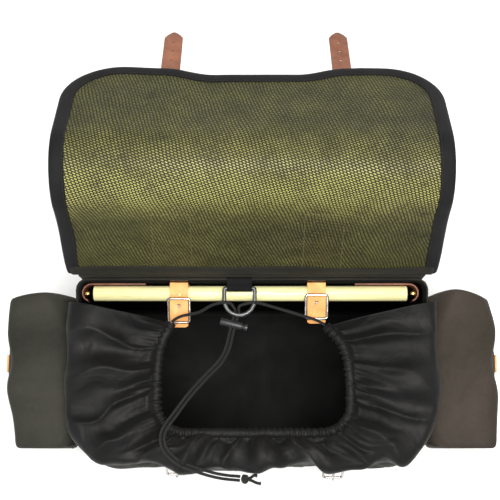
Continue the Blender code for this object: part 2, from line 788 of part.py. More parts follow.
# ---------------------------------------------------------------- front buckles
for n, (side, x) in enumerate(zip(("left", "right"), FRONT_BUCKLE_X)):
    by, bz = FRONT_BAR
    inner = FRONT_Y - GAP - CHAPE_T / 2
    fold = by - inner  # negative: the bar stands in front
    radius = abs(fold)
    path = [(inner, bz + 0.0290), (inner, bz + 0.0100), (inner, bz)]
    path += arc(by, bz, radius, 0, -180, 9)[1:]
    path += [
        (by - radius + 0.0003, bz + 0.0025),
        (inner - CHAPE_T - GAP, bz + 0.0075),
        (inner - CHAPE_T - GAP, bz + 0.0270),
    ]
    chape = sheet(f"front_chape_{side}", strap_rows(path, CHAPE_HW, x), CHAPE_T, LEATHER)
    cut_box(
        chape,
        f"front_slot_{side}",
        (x - 0.0020, by - 0.0045, bz - 0.0060),
        (x + 0.0020, by + 0.0042, bz + 0.0052),
    )
    tilt = FRONT_TILT[n]
    along = (0, -math.sin(tilt), -math.cos(tilt))
    outward = (0, -math.cos(tilt), math.sin(tilt))
    m = local_matrix((x, by, bz), along, outward)
    buckle_frame(f"front_buckle_{side}", m, FRAME_L, (x, by, bz))
    buckle_prong(f"front_prong_{side}", m, (x, by, bz))

# ---------------------------------------------------------------- side pockets
for side, s in (("left", -1), ("right", 1)):
    y0, y1 = POCKET_Y
    x0, x1 = POCKET_X
    z0, z1 = POCKET_Z

    def pocket_outline(inset):
        """Seen from above, with round outer corners."""
        r, pts = 0.022 - inset, []
        lo, hi, near, far = y0 + inset, y1 - inset, x0 + inset, x1 - inset
        pts += [(s * near, hi), (s * near, lo)]
        for cy, a0 in ((lo + r, 270), (hi - r, 0)):
            for i in range(5):
                a = math.radians(a0 + 90 * i / 4)
                pts.append((s * (far - r + r * math.cos(a)), cy + r * math.sin(a)))
        return pts

    body = prism(
        f"pocket_body_{side}", [pocket_outline(0.0)], z0, z1, Matrix.Identity(4), POCKET_R if s > 0 else CANVAS
    )
    boolean(
        body,
        cutter(prism_bm([pocket_outline(POCKET_T)], z0 + POCKET_T, z1 + 0.010), f"pocket_room_{side}"),
    )

    # lid: top, rounded edge and drop
    drop_x = x1 + 0.0042
    r = 0.012
    lid_path = [(POCKET_HINGE_X, POCKET_LID_Z), (0.2150, POCKET_LID_Z), (0.2380, POCKET_LID_Z)]
    lid_path += arc(drop_x - r, POCKET_LID_Z - r, r, 90, 0, 6)
    lid_path += [(drop_x, POCKET_LID_Z - 0.045), (drop_x, POCKET_LID_Z - POCKET_LID_DROP)]
    ys = (y0 - 0.003, y0 + 0.012, (y0 + y1) / 2, y1 - 0.012, y1 + 0.003)
    pocket_rows = [[Vector((s * x, y, z)) for y in ys] for x, z in lid_path]
    hinge = (s * POCKET_HINGE_X, (y0 + y1) / 2, POCKET_LID_Z)
    sheet(
        f"pocket_lid_{side}",
        pocket_rows,
        POCKET_T,
        POCKET_R if s > 0 else CANVAS,
        origin=hinge,
    )

    # strap sewn on the drop, hanging past it over the buckle
    sx = drop_x + POCKET_T / 2 + GAP + STRAP_T / 2
    run = [
        (sx, POCKET_LID_Z - 0.030),
        (sx, POCKET_LID_Z - 0.060),
        (sx, POCKET_LID_Z - 0.078),
        (sx + 0.0030, POCKET_LID_Z - 0.094),
        (sx + 0.0048, POCKET_LID_Z - 0.108),
        (sx + 0.0050, POCKET_LID_Z - 0.122),
        (sx + 0.0044, POCKET_LID_Z - 0.136),
        (sx + 0.0038, POCKET_LID_Z - 0.144),
        (sx + 0.0036, POCKET_LID_Z - 0.148),
    ]
    halves = [STRAP_W / 2] * 7 + [0.0062, 0.0018]
    pocket_strap = sheet(
        f"pocket_strap_{side}",
        [
            [
                Vector((s * x, POCKET_STRAP_Y - h, z)),
                Vector((s * x, POCKET_STRAP_Y + h, z)),
            ]
            for (x, z), h in zip(run, halves)
        ],
        STRAP_T,
        LEATHER,
        origin=hinge,
    )

    # chape, frame and prong below the drop
    inner = x1 + GAP + CHAPE_T / 2
    bx = inner + 0.0027
    bz = POCKET_BAR_Z
    path = [(inner, bz + 0.0270), (inner, bz + 0.0100), (inner, bz)]
    path += arc(bx, bz, 0.0027, 180, 360, 9)[1:]
    path += [
        (bx + 0.0024, bz + 0.0025),
        (inner + CHAPE_T + GAP, bz + 0.0075),
        (inner + CHAPE_T + GAP, bz + 0.0250),
    ]
    chape = sheet(
        f"pocket_chape_{side}",
        [
            [
                Vector((s * x, POCKET_STRAP_Y - CHAPE_HW, z)),
                Vector((s * x, POCKET_STRAP_Y + CHAPE_HW, z)),
            ]
            for x, z in path
        ],
        CHAPE_T,
        LEATHER,
    )
    xs = sorted((s * (bx - 0.0042), s * (bx + 0.0045)))
    cut_box(
        chape,
        f"pocket_slot_{side}",
        (xs[0], POCKET_STRAP_Y - 0.0020, bz - 0.0060),
        (xs[1], POCKET_STRAP_Y + 0.0020, bz + 0.0040),
    )
    m = local_matrix((s * bx, POCKET_STRAP_Y, bz), (0, 0, -1), (s, 0, 0))
    buckle_frame(f"pocket_buckle_{side}", m, FRAME_L, (s * bx, POCKET_STRAP_Y, bz))
    buckle_prong(f"pocket_prong_{side}", m, (s * bx, POCKET_STRAP_Y, bz))

# ---------------------------------------------------------------- lid
hx, hy, hz = LID_HINGE
top_m = local_matrix(
    LID_HINGE,
    (0, math.cos(LID_ANGLE), math.sin(LID_ANGLE)),
    (0, math.sin(LID_ANGLE), -math.cos(LID_ANGLE)),
)
# local X is -X here, local Y runs up the lid and local Z is its outer side
ridge = top_m @ Vector((0, LID_TOP_L, 0))
flap_m = local_matrix(
    ridge,
    (0, math.cos(FLAP_SLOPE), math.sin(FLAP_SLOPE)),
    (0, math.sin(FLAP_SLOPE), -math.cos(FLAP_SLOPE)),
)
EDGE = 0.0012
top_panel = to_object(
    cube_bm(
        (-(LID_HALF_W - EDGE), 0.0006, -LID_T / 2),
        (LID_HALF_W - EDGE, LID_TOP_L - 0.0024, LID_T / 2),
        top_m,
    ),
    "lid_top_panel",
    LID,
    LID_HINGE,
)
for side, s in (("left", -1), ("right", 1)):
    # the local X axis points to -X
    xs = sorted((-s * LID_HALF_W, -s * (LID_HALF_W - BIND_W)))
    strip = to_object(
        cube_bm((xs[0], 0.0060, -BIND_T / 2), (xs[1], LID_TOP_L - 0.0050, BIND_T / 2), top_m),
        f"lid_binding_top_{side}",
        BINDING,
    )
    room = LID_HALF_W - EDGE + GAP
    cut_box(
        strip,
        f"binding_room_{side}",
        (-room, -0.01, -LID_T / 2 - GAP),
        (room, LID_TOP_L + 0.01, LID_T / 2 + GAP),
        top_m,
    )
    set_origin(strip, LID_HINGE)


def flap_outline(inset, start, per=7):
    """The flap in its own plane, far corners rounded."""
    w, e, r = LID_HALF_W - inset, FLAP_L - inset, FLAP_CORNER - inset
    pts = [(w, start)]
    for i in range(per):
        a = math.radians(90 * i / (per - 1))
        pts.append((w - r + r * math.cos(a), e - r + r * math.sin(a)))
    for i in range(per):
        a = math.radians(90 + 90 * i / (per - 1))
        pts.append((-w + r + r * math.cos(a), e - r + r * math.sin(a)))
    pts.append((-w, start))
    return pts


prism(
    "lid_front_flap",
    [flap_outline(EDGE, 0.0024)],
    -LID_T / 2,
    LID_T / 2,
    flap_m,
    LID,
    tuple(ridge),
)
strip = prism(
    "lid_binding_flap",
    [flap_outline(0.0, 0.0060)],
    -BIND_T / 2,
    BIND_T / 2,
    flap_m,
    BINDING,
)
bm = prism_bm([flap_outline(BIND_W, -0.010)], -0.010, 0.010)
bmesh.ops.transform(bm, matrix=flap_m, verts=bm.verts)
boolean(strip, cutter(bm, "binding_inside"))
bm = prism_bm([flap_outline(EDGE - GAP, -0.010)], -LID_T / 2 - GAP, LID_T / 2 + GAP)
bmesh.ops.transform(bm, matrix=flap_m, verts=bm.verts)
boolean(strip, cutter(bm, "binding_slot"))
set_origin(strip, tuple(ridge))

PATCH_T = 0.0016
for side, x in zip(("left", "right"), DOWEL_STRAP_X):
    z0 = LID_T / 2 + GAP
    patch = to_object(
        cube_bm(
            (-x - PATCH_W / 2, 0.0060, z0), (-x + PATCH_W / 2, 0.0060 + PATCH_L, z0 + PATCH_T), top_m
        ),
        f"lid_patch_{side}",
        BINDING,
        LID_HINGE,
    )

STRAP_OUT = 0.078
for side, x in zip(("left", "right"), LID_STRAP_X):
    near = LID_T / 2 + GAP + STRAP_T / 2
    over = BIND_T / 2 + GAP + STRAP_T / 2
    line = [
        (FLAP_L - 0.108, near, STRAP_W / 2),
        (FLAP_L - 0.060, near, STRAP_W / 2),
        (FLAP_L - BIND_W - 0.010, near, STRAP_W / 2),
        (FLAP_L - BIND_W - 0.002, over, STRAP_W / 2),
        (FLAP_L + 0.0010, over, STRAP_W / 2),
        (FLAP_L + 0.0250, over, STRAP_W / 2),
        (FLAP_L + 0.0450, over, STRAP_W / 2),
        (FLAP_L + STRAP_OUT - 0.0110, over, STRAP_W / 2),
        (FLAP_L + STRAP_OUT - 0.0050, over, 0.0062),
        (FLAP_L + STRAP_OUT, over, 0.0014),
    ]
    strap = sheet(
        f"lid_strap_{side}",
        [
            [flap_m @ Vector((-x - h, y, z)), flap_m @ Vector((-x + h, y, z))]
            for y, z, h in line
        ],
        STRAP_T,
        DARK_LEATHER,
    )
    for k, back_off in enumerate((0.020, 0.037, 0.054)):
        at = flap_m @ Vector((-x, FLAP_L + STRAP_OUT - back_off, over))
        cut_hole(strap, f"lid_strap_hole_{side}_{k}", at, flap_m.col[2].xyz, 0.0017, 0.006, 12)
    set_origin(strap, tuple(ridge))

# ---------------------------------------------------------------- shoulder straps
for side, s in (("left", -1), ("right", 1)):
    by, bz = SHOULDER_BAR
    c, sn = math.cos(SHOULDER_TILT), math.sin(SHOULDER_TILT)
    x_low = s * SHOULDER_X[1]
    m = local_matrix((x_low, by, bz), (0, c, sn), (0, sn, -c))

    def at(y, z):
        p = m @ Vector((0, y, z))
        return (p.y, p.z)

    tail = [
        (-0.0004, 0.0052),
        (0.0030, 0.0042),
        (0.0060, 0.0026),
        (0.0110, 0.0002),
        (0.0170, -0.0020),
        (FRAME_L, -0.0028),
        (0.0300, -0.0028),
        (0.0400, -0.0030),
    ]
    low = [at(*p) for p in tail]
    rest = [
        (0.1560, 0.0560, 0.140),
        (0.1760, 0.0800, 0.126),
        (0.1880, 0.1120, 0.108),
        (0.1900, 0.1480, 0.090),
        (0.1790, 0.1840, 0.076),
        (0.1560, 0.2120, 0.066),
        (0.1290, 0.2260, 0.062),
        (0.1080, 0.2250, 0.062),
        (0.0975, 0.2160, 0.062),
        (0.0935, 0.2030, 0.062),
        (0.0930, 0.1850, 0.062),
        (0.0930, 0.1600, 0.062),
    ]
    line = [Vector((x_low, y, z)) for y, z in low]
    line = line[:-1] + smooth_path([line[-1]] + [Vector((s * x, y, z)) for y, z, x in rest], 2)
    strap_rows_list = []
    for i, p in enumerate(line):
        grow = min(max((i - 7) / 5, 0.0), 1.0)
        half = 0.0095 + 0.0075 * grow
        strap_rows_list.append(
            [Vector((p.x - half, p.y, p.z)), Vector((p.x + half, p.y, p.z))]
        )
    strap = sheet(f"shoulder_strap_{side}", strap_rows_list, STRAP_T, DARK_LEATHER)
    cut_box(
        strap, f"shoulder_prong_slot_{side}", (-0.0017, -0.0010, -0.0030), (0.0017, 0.0150, 0.0080), m
    )

    inner = BACK_Y + GAP + CHAPE_T / 2
    path = [(inner, bz + 0.0320), (inner, bz + 0.0100), (inner, bz)]
    path += arc(by, bz, by - inner, 180, 360, 9)[1:]
    path += [
        (by + 0.0024, bz + 0.0025),
        (inner + CHAPE_T + GAP, bz + 0.0075),
        (inner + CHAPE_T + GAP, bz + 0.0300),
    ]
    anchor = sheet(
        f"shoulder_anchor_{side}", strap_rows(path, CHAPE_HW, x_low), CHAPE_T, DARK_LEATHER
    )
    cut_box(
        anchor,
        f"anchor_slot_{side}",
        (x_low - 0.0020, by - 0.0042, bz - 0.0060),
        (x_low + 0.0020, by + 0.0045, bz + 0.0040),
    )
    buckle_frame(f"shoulder_buckle_{side}", m, FRAME_L, (x_low, by, bz))
    buckle_prong(f"shoulder_prong_{side}", m, (x_low, by, bz))
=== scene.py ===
"""Canvas hunting backpack, standing open: the looks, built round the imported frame."""

import json
import math

import bmesh
import bpy
import numpy as np
from mathutils import Matrix, Vector, noise


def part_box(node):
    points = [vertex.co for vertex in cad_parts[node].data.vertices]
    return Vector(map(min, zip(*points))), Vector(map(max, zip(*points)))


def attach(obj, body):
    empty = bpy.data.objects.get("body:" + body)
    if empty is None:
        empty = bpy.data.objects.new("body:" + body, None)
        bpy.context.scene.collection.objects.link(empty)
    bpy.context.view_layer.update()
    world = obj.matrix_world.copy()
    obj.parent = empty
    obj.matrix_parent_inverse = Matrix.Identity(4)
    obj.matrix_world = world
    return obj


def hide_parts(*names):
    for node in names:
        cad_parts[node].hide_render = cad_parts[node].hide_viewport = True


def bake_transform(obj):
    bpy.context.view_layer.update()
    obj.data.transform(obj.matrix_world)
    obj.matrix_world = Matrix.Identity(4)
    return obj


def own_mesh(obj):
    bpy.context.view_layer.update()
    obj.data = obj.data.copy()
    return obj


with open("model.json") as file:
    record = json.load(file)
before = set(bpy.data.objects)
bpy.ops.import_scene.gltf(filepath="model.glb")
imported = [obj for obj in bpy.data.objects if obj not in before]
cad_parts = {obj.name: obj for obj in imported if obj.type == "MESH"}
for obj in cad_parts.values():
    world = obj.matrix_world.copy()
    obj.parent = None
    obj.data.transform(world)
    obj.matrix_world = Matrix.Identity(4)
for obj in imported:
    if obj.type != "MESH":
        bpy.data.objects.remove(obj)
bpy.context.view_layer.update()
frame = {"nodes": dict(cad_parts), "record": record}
NODES = frame["nodes"]
SCENE = bpy.context.scene
RNG = np.random.default_rng(7)

# ---------------------------------------------------------------- camera and light
cam_data = bpy.data.cameras.new("camera")
cam_data.lens = 72.74
cam_data.sensor_width = 36.0
cam = bpy.data.objects.new("camera", cam_data)
SCENE.collection.objects.link(cam)
eye = Vector((-0.0021, -0.0621, 1.3070))
target = Vector((-0.0021, 0.1202, 0.2730))
ahead = (target - eye).normalized()
up = Vector((0.0, 0.985, 0.174))
right = ahead.cross(up).normalized()
up = right.cross(ahead).normalized()
turn = Matrix((right, up, -ahead)).transposed()
cam.matrix_world = Matrix.Translation(eye) @ turn.to_4x4()
SCENE.camera = cam
SCENE.view_settings.view_transform = "Standard"

world = bpy.data.worlds.new("studio")
world.use_nodes = True
world.node_tree.nodes["Background"].inputs["Color"].default_value = (1.0, 1.0, 1.0, 1.0)
world.node_tree.nodes["Background"].inputs["Strength"].default_value = 0.52
SCENE.world = world


def area_light(name, place, aim, size, power, colour=(1.0, 1.0, 1.0)):
    data = bpy.data.lights.new(name, "AREA")
    data.shape = "SQUARE"
    data.size = size
    data.energy = power
    data.color = colour
    obj = bpy.data.objects.new(name, data)
    obj.location = place
    obj.rotation_mode = "QUATERNION"
    obj.rotation_quaternion = (Vector(aim) - Vector(place)).to_track_quat("-Z", "Y")
    SCENE.collection.objects.link(obj)
    return obj


area_light("key", (0.12, -0.12, 2.1), (0.0, 0.12, 0.25), 0.7, 52.0, (1.0, 0.985, 0.95))
area_light("fill", (-1.5, -0.9, 1.1), (0.0, 0.05, 0.2), 1.2, 9.0, (0.94, 0.97, 1.0))
area_light("rim", (1.3, 1.5, 1.3), (0.0, 0.05, 0.25), 1.0, 10.0)


# ---------------------------------------------------------------- node materials
def rgb(r, g, b):
    """A display colour, 0 to 255, as a linear one."""
    out = []
    for v in (r, g, b):
        v /= 255.0
        out.append(v / 12.92 if v <= 0.04045 else ((v + 0.055) / 1.055) ** 2.4)
    return (*out, 1.0)


class Tree:
    """A material's node tree with short calls for the nodes used here."""

    def __init__(self, name, roughness=0.8, metallic=0.0):
        self.mat = bpy.data.materials.new(name)
        self.mat.use_nodes = True
        self.t = self.mat.node_tree
        self.bsdf = self.t.nodes["Principled BSDF"]
        self.bsdf.inputs["Roughness"].default_value = roughness
        self.bsdf.inputs["Metallic"].default_value = metallic

    def put(self, socket, value):
        if isinstance(value, bpy.types.NodeSocket):
            self.t.links.new(value, socket)
        else:
            socket.default_value = value

    def node(self, kind, **inputs):
        n = self.t.nodes.new(kind)
        for key, value in inputs.items():
            self.put(n.inputs[key.replace("_", " ")], value)
        return n

    def math(self, op, a, b=0.0, c=0.0):
        n = self.t.nodes.new("ShaderNodeMath")
        n.operation = op
        for socket, value in zip(n.inputs, (a, b, c)):
            self.put(socket, value)
        return n.outputs[0]

    def uv(self):
        n = self.t.nodes.new("ShaderNodeUVMap")
        n.uv_map = "uv"
        s = self.t.nodes.new("ShaderNodeSeparateXYZ")
        self.t.links.new(n.outputs[0], s.inputs[0])
        return n.outputs[0], s.outputs[0], s.outputs[1]

    def place(self):
        """Object coordinates: metres in the bag's own frame."""
        n = self.t.nodes.new("ShaderNodeTexCoord")
        s = self.t.nodes.new("ShaderNodeSeparateXYZ")
        self.t.links.new(n.outputs["Object"], s.inputs[0])
        return n.outputs["Object"], s.outputs

    def noise(self, vector, scale, detail=4.0, roughness=0.55, distortion=0.0):
        n = self.t.nodes.new("ShaderNodeTexNoise")
        self.put(n.inputs["Vector"], vector)
        n.inputs["Scale"].default_value = scale
        n.inputs["Detail"].default_value = detail
        n.inputs["Roughness"].default_value = roughness
        n.inputs["Distortion"].default_value = distortion
        return n.outputs[0]

    def voronoi(self, vector, scale, feature="F1"):
        n = self.t.nodes.new("ShaderNodeTexVoronoi")
        n.feature = feature
        self.put(n.inputs["Vector"], vector)
        n.inputs["Scale"].default_value = scale
        return n.outputs[0]

    def ramp(self, value, stops):
        n = self.t.nodes.new("ShaderNodeValToRGB")
        self.put(n.inputs[0], value)
        r = n.color_ramp
        while len(r.elements) < len(stops):
            r.elements.new(0.5)
        for e, (at, colour) in zip(r.elements, stops):
            e.position = at
            e.color = colour
        return n.outputs[0]

    def mix(self, share, a, b, blend="MIX"):
        n = self.t.nodes.new("ShaderNodeMix")
        n.data_type = "RGBA"
        n.blend_type = blend
        self.put(n.inputs[0], share)
        self.put(n.inputs[6], a)
        self.put(n.inputs[7], b)
        return n.outputs[2]

    def squeeze(self, value, low, high, to_low=0.0, to_high=1.0):
        n = self.t.nodes.new("ShaderNodeMapRange")
        self.put(n.inputs[0], value)
        for i, v in enumerate((low, high, to_low, to_high)):
            n.inputs[1 + i].default_value = v
        return n.outputs[0]

    def bump(self, height, strength, distance, normal=None):
        n = self.t.nodes.new("ShaderNodeBump")
        n.inputs["Strength"].default_value = strength
        n.inputs["Distance"].default_value = distance
        self.put(n.inputs["Height"], height)
        if normal is not None:
            self.put(n.inputs["Normal"], normal)
        return n.outputs[0]

    def done(self, colour, normal=None, roughness=None, sheen=0.0, sheen_tint=None, specular=None, coat=0.0):
        self.put(self.bsdf.inputs["Base Color"], colour)
        if normal is not None:
            self.put(self.bsdf.inputs["Normal"], normal)
        if roughness is not None:
            self.put(self.bsdf.inputs["Roughness"], roughness)
        if sheen:
            self.bsdf.inputs["Sheen Weight"].default_value = sheen
            self.bsdf.inputs["Sheen Roughness"].default_value = 0.45
            if sheen_tint:
                self.bsdf.inputs["Sheen Tint"].default_value = sheen_tint
        if specular is not None:
            self.bsdf.inputs["Specular IOR Level"].default_value = specular
        if coat:
            self.bsdf.inputs["Coat Weight"].default_value = coat
            self.bsdf.inputs["Coat Roughness"].default_value = 0.35
        return self.mat


def weave(t, u, v, pitch):
    """Height of a plain weave: threads over and under each other, one every pitch metres."""
    k = math.pi / pitch
    su = t.math("SINE", t.math("MULTIPLY", u, k))
    sv = t.math("SINE", t.math("MULTIPLY", v, k))
    return t.math("ADD", t.math("MULTIPLY", t.math("MULTIPLY", su, sv), 0.5), 0.5)


def canvas(name, dark, mid, light, pitch=0.0009):
    """Waxed cotton canvas: plain weave, rubbed lighter in patches."""
    t = Tree(name, 0.72)
    obj, axes = t.place()
    _, u, v = t.uv()
    big = t.noise(obj, 9.0, 5.0, 0.6, 0.4)
    fine = t.noise(obj, 240.0, 3.0, 0.6)
    colour = t.ramp(big, ((0.30, dark), (0.52, mid), (0.74, light)))
    thread = weave(t, u, v, pitch)
    shade = t.math("MULTIPLY_ADD", thread, 0.30, t.math("MULTIPLY_ADD", fine, 0.40, 0.64))
    colour = t.mix(1.0, colour, shade, "MULTIPLY")
    crease = t.noise(obj, 34.0, 6.0, 0.65, 1.2)
    n = t.bump(thread, 0.35, 0.0004)
    n = t.bump(crease, 0.22, 0.0035, n)
    rough = t.squeeze(big, 0.3, 0.75, 0.80, 0.62)
    return t.done(colour, n, rough, sheen=0.03, specular=0.16)


def twill(name):
    """The lid's inner face: a coarse olive twill whose pale weft shows as short slanted floats."""
    t = Tree(name, 0.62)
    obj, axes = t.place()
    _, u, v = t.uv()
    wob = t.math("MULTIPLY", t.math("SUBTRACT", t.noise(obj, 14.0, 2.0), 0.5), 0.010)
    uu = t.math("ADD", u, wob)
    vv = t.math("ADD", v, t.math("MULTIPLY", t.math("SUBTRACT", t.noise(obj, 9.0, 1.0), 0.5), 0.012))
    along = t.math("SUBTRACT", t.math("MULTIPLY", uu, 0.91), t.math("MULTIPLY", vv, 0.41))
    across = t.math("ADD", t.math("MULTIPLY", uu, 0.41), t.math("MULTIPLY", vv, 0.91))
    row = t.math("DIVIDE", across, 0.00205)
    row_id = t.math("FLOOR", row)
    row_in = t.math("ABSOLUTE", t.math("SUBTRACT", t.math("FRACT", row), 0.5))
    cell = t.math("FRACT", t.math("ADD", t.math("DIVIDE", along, 0.0040), t.math("MULTIPLY", row_id, 0.42)))
    cell = t.math("ABSOLUTE", t.math("SUBTRACT", cell, 0.5))
    lift = t.math("MULTIPLY", t.squeeze(cell, 0.24, 0.40, 1.0, 0.0), t.squeeze(row_in, 0.16, 0.38, 1.0, 0.0))
    speck = t.noise(obj, 330.0, 2.0, 0.7)
    patch = t.noise(obj, 7.0, 3.0, 0.55, 0.5)
    slub = t.noise(obj, 40.0, 3.0, 0.6)
    # painted light: the pale floats are painted brighter along the lid's bend as a painted highlight, and darker on
    # the part that stands up behind the mouth and on the far flap as painted shade
    ridge_highlight = t.squeeze(t.math("ABSOLUTE", t.math("SUBTRACT", vv, 0.146)), 0.004, 0.040, 1.0, 0.0)
    painted_light = t.math("MULTIPLY", t.math("MULTIPLY_ADD", ridge_highlight, 0.70, t.squeeze(vv, 0.090, 0.140, 0.54, 0.74)), t.squeeze(vv, 0.175, 0.230, 1.0, 0.50))
    glow = t.math("MULTIPLY", lift, t.math("MULTIPLY", painted_light, t.squeeze(t.math("ADD", speck, slub), 0.66, 1.34, 0.30, 1.20)))
    ground = t.ramp(patch, ((0.26, rgb(25, 24, 15)), (0.55, rgb(31, 30, 16)), (0.80, rgb(38, 36, 21))))
    pale = t.ramp(patch, ((0.26, rgb(142, 137, 84)), (0.52, rgb(160, 158, 88)), (0.80, rgb(172, 167, 104))))
    colour = t.mix(glow, ground, pale)
    n = t.bump(lift, 0.55, 0.0009)
    n = t.bump(t.noise(obj, 26.0, 5.0, 0.6, 0.8), 0.22, 0.004, n)
    return t.done(colour, n, t.squeeze(lift, 0.0, 1.0, 0.70, 0.36), specular=0.27)


def thin_cloth(name, dark, light, gloss=0.16):
    """The skirt: thin black proofed cotton with a soft sheen along its folds."""
    t = Tree(name, 0.55)
    obj, axes = t.place()
    _, u, v = t.uv()
    big = t.noise(obj, 14.0, 4.0, 0.6, 0.6)
    colour = t.ramp(big, ((0.30, dark), (0.72, light)))
    thread = weave(t, u, v, 0.0006)
    colour = t.mix(1.0, colour, t.math("MULTIPLY_ADD", thread, 0.2, 0.9), "MULTIPLY")
    n = t.bump(thread, 0.22, 0.0002)
    n = t.bump(t.noise(obj, 75.0, 5.0, 0.6, 1.0), 0.22, 0.0016, n)
    if gloss > 0.08:  # short creases where the thin cloth is crushed
        n = t.bump(t.noise(obj, 27.0, 2.0, 0.45, 1.6), 0.45, 0.0050, n)
    return t.done(colour, n, t.squeeze(big, 0.3, 0.7, 0.66, 0.50), sheen=0.02 if gloss > 0.08 else 0.0, specular=gloss)


def leather(name, dark, mid, light, grain=1500.0, rough=(0.60, 0.42)):
    t = Tree(name, 0.5)
    obj, axes = t.place()
    big = t.noise(obj, 30.0, 4.0, 0.6, 0.6)
    pore = t.voronoi(obj, grain)
    fine = t.noise(obj, 500.0, 3.0, 0.6)
    colour = t.ramp(big, ((0.28, dark), (0.52, mid), (0.74, light)))
    colour = t.mix(1.0, colour, t.math("MULTIPLY_ADD", fine, 0.30, 0.85), "MULTIPLY")
    geo = t.t.nodes.new("ShaderNodeNewGeometry")
    edge = t.squeeze(geo.outputs["Pointiness"], 0.51, 0.60)
    colour = t.mix(t.math("MULTIPLY", edge, 0.45), colour, dark)
    n = t.bump(pore, 0.30, 0.0003)
    n = t.bump(t.noise(obj, 150.0, 4.0, 0.6), 0.14, 0.0006, n)
    return t.done(colour, n, t.squeeze(big, 0.3, 0.7, rough[0], rough[1]), specular=0.45)


def metal(name, colour, rough, dull=0.3, metallic=1.0):
    t = Tree(name, rough, metallic)
    obj, axes = t.place()
    cloud = t.noise(obj, 90.0, 4.0, 0.6)
    scratch = t.noise(obj, 1300.0, 2.0, 0.6)
    dark = tuple(c * (1.0 - dull) for c in colour[:3]) + (1.0,)
    tone = t.ramp(cloud, ((0.32, dark), (0.60, colour)))
    n = t.bump(scratch, 0.05, 0.0001)
    return t.done(tone, n, t.squeeze(t.math("ADD", cloud, t.math("MULTIPLY", scratch, 0.3)), 0.4, 0.9, rough * 0.75, rough * 1.5))


def plastic(name, colour, rough):
    t = Tree(name, rough)
    obj, axes = t.place()
    cloud = t.noise(obj, 120.0, 4.0, 0.6)
    lit = tuple(min(1.0, c * 1.5) for c in colour[:3]) + (1.0,)
    tone = t.ramp(cloud, ((0.35, colour), (0.70, lit)))
    return t.done(tone, t.bump(t.noise(obj, 1800.0, 2.0), 0.12, 0.0001), t.squeeze(cloud, 0.3, 0.7, rough * 1.2, rough * 0.85))


def wood(name):
    """A planed, oiled hardwood dowel: pale, with long fine grain along X."""
    t = Tree(name, 0.42)
    obj, axes = t.place()
    x = t.math("MULTIPLY", axes[0], 0.06)
    mix = t.t.nodes.new("ShaderNodeCombineXYZ")
    t.put(mix.inputs[0], x)
    t.put(mix.inputs[1], axes[1])
    t.put(mix.inputs[2], axes[2])
    ring = t.noise(mix.outputs[0], 420.0, 5.0, 0.6, 1.2)
    pore = t.noise(mix.outputs[0], 1900.0, 3.0, 0.7)
    colour = t.ramp(ring, ((0.30, rgb(206, 198, 142)), (0.52, rgb(228, 222, 166)), (0.72, rgb(238, 235, 182))))
    colour = t.mix(t.squeeze(pore, 0.60, 0.74, 0.0, 0.35), colour, rgb(190, 172, 112))
    return t.done(colour, t.bump(pore, 0.12, 0.0003), t.squeeze(ring, 0.3, 0.7, 0.52, 0.36))


def braid(name, dark, light):
    """A round braided cord: slanted strands both ways round it."""
    t = Tree(name, 0.6)
    _, u, v = t.uv()
    obj, axes = t.place()
    a = t.math("SINE", t.math("MULTIPLY", t.math("ADD", v, t.math("MULTIPLY", u, 0.60)), math.pi * 2 / 0.0016))
    b = t.math("SINE", t.math("MULTIPLY", t.math("SUBTRACT", v, t.math("MULTIPLY", u, 0.60)), math.pi * 2 / 0.0016))
    h = t.math("MAXIMUM", a, b)
    fuzz = t.noise(obj, 700.0, 3.0)
    colour = t.mix(t.squeeze(t.math("ADD", h, fuzz), 0.2, 1.5), dark, light)
    n = t.bump(h, 0.7, 0.0004)
    return t.done(colour, n, 0.62, sheen=0.04, specular=0.16)


def ribbed(name, dark, light, rib=0.0011):
    """Grosgrain tape: close ribs across its length."""
    t = Tree(name, 0.66)
    _, u, v = t.uv()
    obj, axes = t.place()
    rib_h = t.math("SINE", t.math("MULTIPLY", u, math.pi * 2 / rib))
    cross = t.math("SINE", t.math("MULTIPLY", v, math.pi * 2 / 0.0007))
    h = t.math("MULTIPLY_ADD", cross, 0.25, rib_h)
    cloud = t.noise(obj, 22.0, 4.0, 0.6)
    tone = t.ramp(cloud, ((0.30, dark), (0.72, light)))
    tone = t.mix(1.0, tone, t.squeeze(h, -1.0, 1.0, 0.82, 1.12), "MULTIPLY")
    return t.done(tone, t.bump(h, 0.35, 0.0003), 0.66, sheen=0.03, specular=0.14)


def thread_mat(name, colour):
    t = Tree(name, 0.6)
    obj, axes = t.place()
    tone = t.mix(t.noise(obj, 900.0, 2.0), colour, tuple(c * 1.6 for c in colour[:3]) + (1.0,))
    return t.done(tone, t.bump(t.noise(obj, 2600.0, 2.0), 0.3, 0.0001), 0.6, sheen=0.04, specular=0.2)


